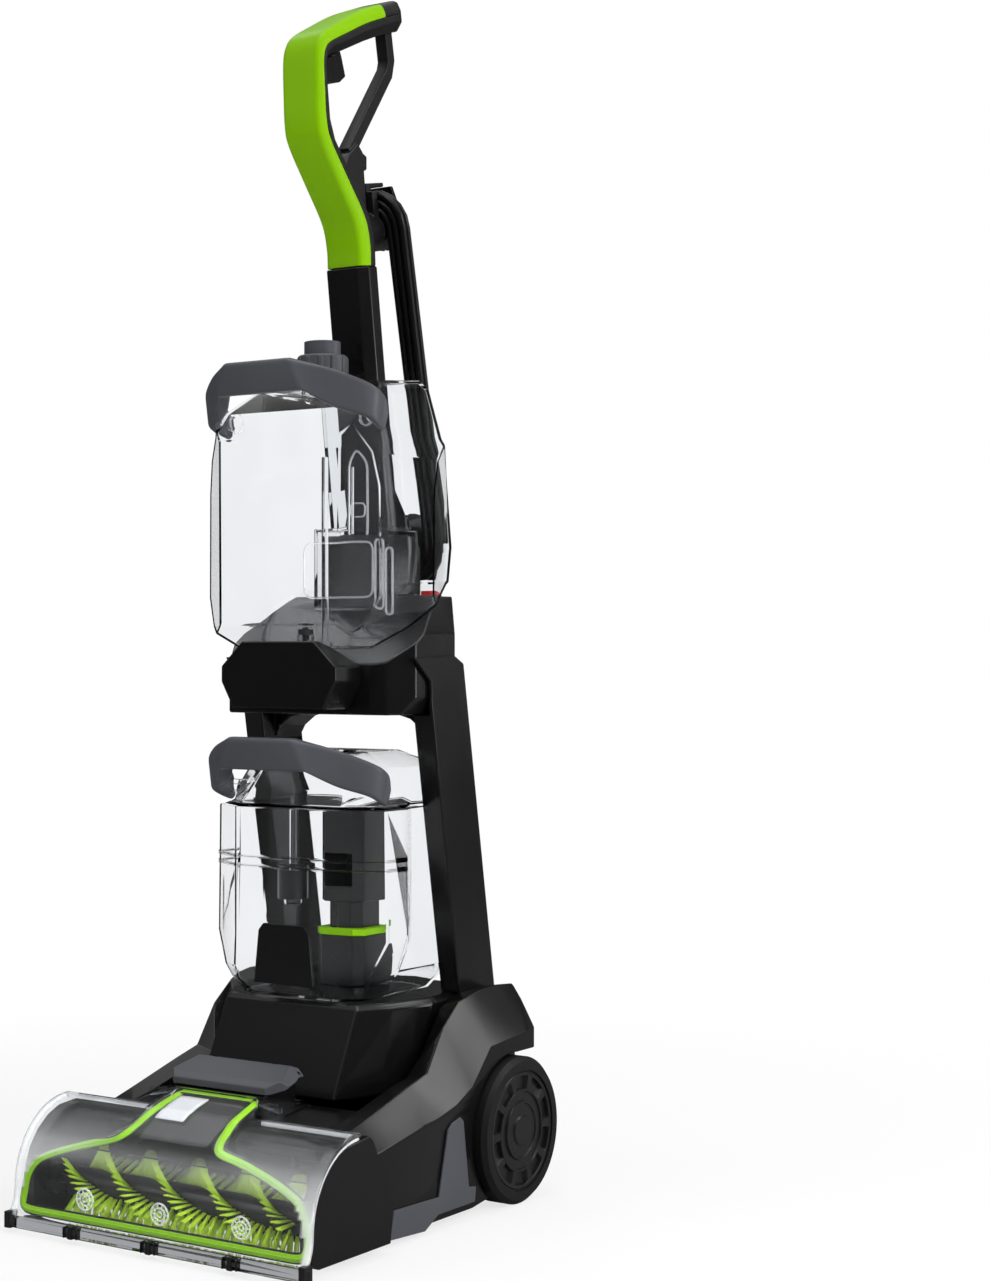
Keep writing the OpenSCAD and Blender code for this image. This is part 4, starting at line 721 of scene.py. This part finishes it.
# %% [markdown]
# ## The nozzle window
# The clear window is one moulding: a quarter-round hood across the whole width, and a duct roof
# that swells out of its middle and climbs to a flat neck. Two shells joined by a boolean would
# meet in a seam, which clear plastic shows. So we work it out as one grid, with columns across
# the nozzle and rows up the profile. Each point slides from the hood's curve to the duct's line,
# over a band that grows narrower towards the neck.

# %% Profile of the hood and the duct
nose_y, nose_z, nose_ry, nose_rz = -128.0, 38.0, 66.0, 68.0
window_half, window_t = 156.0, 2.4
skirt_flare, skirt_drop = 8.0, 24.0
duct_rise = [0.36, 0.48, 0.60, 0.82, 1.0]
duct_y = [-189.0, -187.0, -182.0, -149.0, -114.3]
duct_z = [63.0, 80.0, 93.0, 111.0, 121.0]


def hood_surface(x, v, inside=0.0):
    """Points of the window for x across and v up the profile: v 0 to 0.15 is the skirt, and the
    rest the quarter ellipse centre - (ry cos a, -rz sin a), or the duct's line in the duct."""
    angle = np.radians(np.interp(v, [0.15, 0.6, 0.97, 1], [0, 50, 90, 90]))
    skirt = np.interp(v, [0, 0.15], [1, 0])
    flange = np.interp(v, [0.97, 1], [0, 2])
    hood_y = nose_y - (nose_ry - inside) * np.cos(angle) - skirt_flare * skirt * skirt + flange
    hood_z = nose_z + (nose_rz - inside) * np.sin(angle) - skirt_drop * skirt
    roof_y = np.interp(v, duct_rise, duct_y) + inside * 0.6
    roof_z = np.interp(v, duct_rise, duct_z) - inside * 0.8
    outer = np.interp(v, [0.36, 0.5, 0.6, 0.7, 1], [128, 96, 66, 54, 47])
    inner = np.interp(v, [0.36, 0.5, 0.6, 0.7, 1], [80, 62, 50, 45, 42])
    share = bump(-np.abs(x), -outer, -inner) * bump(v, 0.33, 0.5)
    y, z = hood_y * (1 - share) + roof_y * share, hood_z * (1 - share) + roof_z * share
    return np.stack([x, y, z], -1)


print("window profile: nose", nose_ry, "by", nose_rz, "mm")

# %% Painted sheen in the clear shell
gasket_half = np.array([[0, 19.4], [60, 19.4], [120, 19.4], [143, 19.8], [149, 24], [149, 34],
                        [146, 49], [137, 61], [122, 68], [104, 74], [84, 79.5], [66, 84.5],
                        [54, 88.5], [47.5, 94], [45, 100], [42.5, 107], [40, 114], [38, 118.2],
                        [30, 119.6], [0, 119.6]])
gasket_side = gasket_half[4:17]


def painted_sheen_of(points):
    """Share of painted white at points of the window, a painted sheen: outside the gasket's outline
    it is a painted reflection of the floor's white, strong near the bottom and none at the top,
    and inside it is a band of painted reflection over the brush."""
    x, z = np.abs(points[..., 0]), points[..., 2]
    outline = np.interp(z, gasket_side[:, 1], gasket_side[:, 0])
    beside = np.interp(z, [14, 45, 65, 85, 100], [0.5, 0.42, 0.25, 0.08, 0.01])
    within = 0.09 * np.exp(-((z - 74) / 9) ** 2) + 0.01
    return np.where(x > outline, beside, within)


print("haze beside the gasket:", painted_sheen_of(np.array([155.0, -190.0, 30.0])))

# %% The shell and its wall
def walled(piece, thickness):
    """Gives an open sheet a wall behind it, of that thickness in metres."""
    wall = piece.modifiers.new("wall", "SOLIDIFY")
    wall.thickness = thickness
    wall.offset = -1


side = np.concatenate([np.linspace(-window_half, -62, 26), np.linspace(-60, -36, 25),
                       np.linspace(-32, 32, 14), np.linspace(36, 60, 25),
                       np.linspace(62, window_half, 26)])
rise = np.linspace(0, 1, 72)
across, up = np.meshgrid(side, rise, indexing="ij")
shell = hood_surface(across, up)
window_mesh = skin("nozzle_shell", mm * shell, wrap=False, ends=False)
# This per-point share of white is painted sheen: a painted reflection of the floor and of light
# over the brush.
painted_sheen = window_mesh.attributes.new("painted_sheen", "FLOAT", "POINT")
painted_sheen.data.foreach_set("value", painted_sheen_of(shell).ravel())
window = show(window_mesh, "nozzle_shell", "window", "clear_plastic", ["nozzle_window"], sharp=0,
              look="clear_window")
walled(window, window_t * mm)
print("window:", len(window_mesh.polygons), "faces")

# %% [markdown]
# ## Borders of the window
# A clear moulding shows up by its borders: the hood's ends and top edge are thickened to a bead
# that catches the light. Near the bottom three round bosses with spokes carry the lip, and at the
# ends of the neck sit the ribbed latches that release the window. All could be raised from the
# shell itself, but as pieces of their own the beads and bosses can carry a painted highlight, a
# share of white painted into their clear finish.

# %% Beads along the ends and the top edge
bead_r, climbing, crossing = 1.5, 40, 16
edge_x = np.concatenate([np.full(climbing, 154.4), [154, 152.6, 150],
                         np.linspace(146, 58, crossing)])
edge_v = np.concatenate([np.linspace(0, 0.96, climbing), [0.968, 0.972, 0.974],
                         np.full(crossing, 0.975)])
# The beads' glints are painted highlight, from the white in their clear finish.
for name, way in (("window_bead_left", -1), ("window_bead_right", 1)):
    line = hood_surface(way * edge_x, edge_v, bead_r)
    show(skin(name, mm * tube_along(line, bead_r)), name, "window", "clear_plastic", sharp=0,
         look="clear_painted_glint")
print("two beads of", len(edge_x), "points")

# %% Places on the window
def place_of(x, z, inside=0.0):
    """Point of the window at x and height z, looked up in the profile's rows."""
    v = np.linspace(0, 1, 1500)
    column = np.broadcast_to(np.asarray(x, float)[:, None], (len(x), len(v)))
    wide = hood_surface(column, v[None, :], inside)
    row = np.abs(wide[..., 2] - np.asarray(z, float)[:, None]).argmin(axis=1)
    return wide[np.arange(len(x)), row]


print("middle of the window at 60 mm:", place_of(np.zeros(1), np.array([60.0]))[0].round(1))

# %% Bosses
turn = np.linspace(0, 2 * np.pi, 33)
bosses = []
for x, z in ((-81, 35), (0, 34), (84, 35)):
    front = place_of(np.array([x]), np.array([z]), window_t)[0] + [0, 1.0, 0]
    for r, thick in ((9.0, 0.8), (5.2, 0.8), (2.2, 0.7)):
        ring = front + np.stack([r * np.cos(turn), 0 * turn, r * np.sin(turn)], -1)
        bosses.append(skin("ring", mm * tube_along(ring, thick, 8)))
    for a in np.arange(10) * np.pi / 5:
        spoke = front + np.array([[r * np.cos(a), 0, r * np.sin(a)] for r in (5.4, 8.8)])
        bosses.append(skin("spoke", mm * tube_along(spoke, 0.6, 6)))
# The bosses' brightness is painted highlight, from the white in their clear finish.
show(joined("window_bosses", bosses), "window_bosses", "window", "clear_plastic", sharp=40,
     look="clear_painted_glint")
print("bosses:", len(bosses), "rings and spokes")

# %% Latches
ribs = []
for way in (-1, 1):
    for k in range(7):
        x = way * (50.5 + 2.7 * k)
        ribs.append(block(x - 0.6, x + 0.6, -121, -110, 109.5 - 0.6 * k, 121.0 - 0.9 * (k % 3)))
    for y in (-119.5, -115.5, -111.5):
        bar = np.array([[way * 49.5, y, 118.5], [way * 69, y, 114.5]])
        ribs.append(skin("bar", mm * tube_along(bar, 0.8, 8)))
show(joined("window_latches", ribs), "window_latches", "window", "clear_plastic", sharp=30)
print("latches:", len(ribs), "ribs and bars")

# %% [markdown]
# ## The gasket
# A soft lime strip seals the window round the mouth of the duct. It is one closed loop: along the
# bottom, up a side, round the shoulder, in an S to the neck and over to the other side. A curve
# with a bevel shape would twist along that loop. So the strip's section is carried along as a
# grid that stands square to the window, with a bead along its middle and a dark groove on both
# sides.

# %% Loop of the gasket
def gasket_strip(inside, breadth, height, ridge):
    """Closed loop of sections, breadth wide and height thick, with a ridge along the middle."""
    half = flowing(gasket_half, 160)
    loop = np.concatenate([half, half[-2:0:-1] * [-1, 1]])
    line = place_of(loop[:, 0], loop[:, 1], inside)
    for _ in range(9):
        line = (np.roll(line, 1, axis=0) + 2 * line + np.roll(line, -1, axis=0)) / 4
    way = np.roll(line, -1, axis=0) - np.roll(line, 1, axis=0)
    way /= np.linalg.norm(way, axis=1, keepdims=True)
    facing = np.stack([np.zeros(len(line)), line[:, 1] - nose_y, line[:, 2] - nose_z + 12], -1)
    facing -= (facing * way).sum(1, keepdims=True) * way
    facing /= np.linalg.norm(facing, axis=1, keepdims=True)
    sideways = np.cross(way, facing)
    half_breadth = breadth / 2 * (1 + 0.25 * bump(line[:, 2], 80, 105)[:, None])
    out = np.array([-1, -1, -0.8, -0.35, -0.2, 0.2, 0.35, 0.8, 1, 1]) * half_breadth
    top = height / 2
    crest = top + ridge
    proud = np.array([-top, top * 0.4, top, top, crest, crest, top, top, top * 0.4, -top])
    aside, up = out[..., None] * sideways[:, None], proud[None, :, None] * facing[:, None]
    points = line[:, None] + aside + up
    return np.concatenate([points, points[:1]])


strip = gasket_strip(window_t + 1.5, 6.4, 1.6, 0.6)
groove = gasket_strip(window_t + 2.5, 9.6, 1.0, 0.1)
for name, slot, stands_for, points in (("gasket_strip", "lime_plastic", ["window_gasket"], strip),
                                       ("gasket_groove", "black_plastic", [], groove)):
    mesh = outward(skin(name, mm * points, ends=False))
    show(mesh, name, "window", slot, stands_for, sharp=50)
    print(name, "has", len(mesh.polygons), "faces")

# %% [markdown]
# ## Lining of the duct
# Behind the neck the duct is lined with black, and on its left, where the dirty water goes by, a
# pane is made pale by white painted into its clear finish. Both are sheets that follow the
# window's own surface a few millimetres behind it.

# %% Lining and pane
for name, slot, look, low, high, columns, rows, inside, thick in (
        ("duct_lining", "black_plastic", None, (-37, 0.62), (37, 0.985), 20, 24, 6.0, 1.2),
        ("duct_pane", "clear_plastic", "clear_painted_glint", (-33, 0.76), (-3, 0.955), 8, 10, 3.4, 1.0)):
    sheet_x, sheet_v = np.meshgrid(np.linspace(low[0], high[0], columns),
                                   np.linspace(low[1], high[1], rows), indexing="ij")
    sheet = skin(name, mm * hood_surface(sheet_x, sheet_v, inside), wrap=False, ends=False)
    walled(show(sheet, name, "window", slot, sharp=0, look=look), thick * mm)
print("duct lining and pane")

# %% [markdown]
# ## The brush
# The roll carries its bristles in tufts, set in four spirals that wind round it, with a straight
# row of thick slanted tufts on either side. A hair system could grow them, but hair is lost when
# the piece is exported. So each bristle is a thin three-sided spike that leans a little on its
# own, and all of them are one mesh. In the spirals the tufts are pressed flat, so that each opens
# like a fan.

# %% Bristles in tufts
brush_middle = np.array([0, -151.0, 38.0])
core_r, brush_r, bristle_r = 13.0, 35.6, 0.35
chance = np.random.default_rng(7)


def tufts(x, angle, count, foot_size, tip_size, slant=0.0, length=1.0):
    """Spikes standing on the roll at x and angle: each foot lies in a box of foot_size, across and
    round, and each tip in one of tip_size moved across by slant, at brush_r times length."""
    place = chance.uniform(-1, 1, (len(x), count, 2))
    foot = place * foot_size
    lean = place * tip_size + [slant, 0] + chance.normal(0, 0.2, foot.shape)
    reach = brush_r * length - np.abs(chance.normal(0, 0.7, foot.shape[:2]))
    turn = np.arange(3) * 2 * np.pi / 3
    ring = bristle_r * np.stack([np.cos(turn), np.sin(turn)], -1)
    low = foot[..., None, :] + ring
    high = lean[..., None, :] + ring * 0.55
    flat = np.concatenate([low, high], axis=2)
    feet, tips = np.full(low.shape[:3], core_r), np.broadcast_to(reach[..., None], low.shape[:3])
    radial = np.concatenate([feet, tips], axis=2)
    c, s = np.cos(angle)[:, None, None], np.sin(angle)[:, None, None]
    points = np.stack([x[:, None, None] + flat[..., 0],
                       brush_middle[1] - radial * s - flat[..., 1] * c,
                       brush_middle[2] + radial * c - flat[..., 1] * s], -1)
    return points.reshape(-1, 6, 3)


def spikes(name, points):
    """Mesh of many three-sided spikes from points[spike, 3 foot + 3 tip corners]."""
    count = len(points)
    faces = np.array([[0, 1, 4, 3], [1, 2, 5, 4], [2, 0, 3, 5]])
    caps = np.array([[2, 1, 0], [3, 4, 5]])
    start = 6 * np.arange(count)[:, None, None]
    sides, ends = (start + faces).reshape(-1, 4), (start + caps).reshape(-1, 3)
    mesh = bpy.data.meshes.new(name)
    mesh.from_pydata(points.reshape(-1, 3), [], sides.tolist() + ends.tolist())
    return mesh


print("bristles of", brush_r - core_r, "mm")

# %% Rows of tufts
along = np.linspace(-117, 117, 52)
wound = radians(68) + along * np.pi / 2 / len(along)
rows = [tufts(along, wound + k * np.pi / 2, 22, [1.5, 0.6], [3.4, 0.7]) for k in range(4)]
along = np.linspace(-112, 112, 25)
for row in (radians(122), radians(302)):
    rows.append(tufts(along, np.full(along.shape, row), 34, [1.2, 1.4], [1.3, 1.8], 5.0, 0.97))
bristles = spikes("brush_tufts", mm * np.concatenate(rows))
show(bristles, "brush_tufts", "brush", "lime_bristle", ["brush_bristles"], sharp=0)
print("bristles:", len(bristles.polygons) // 5)
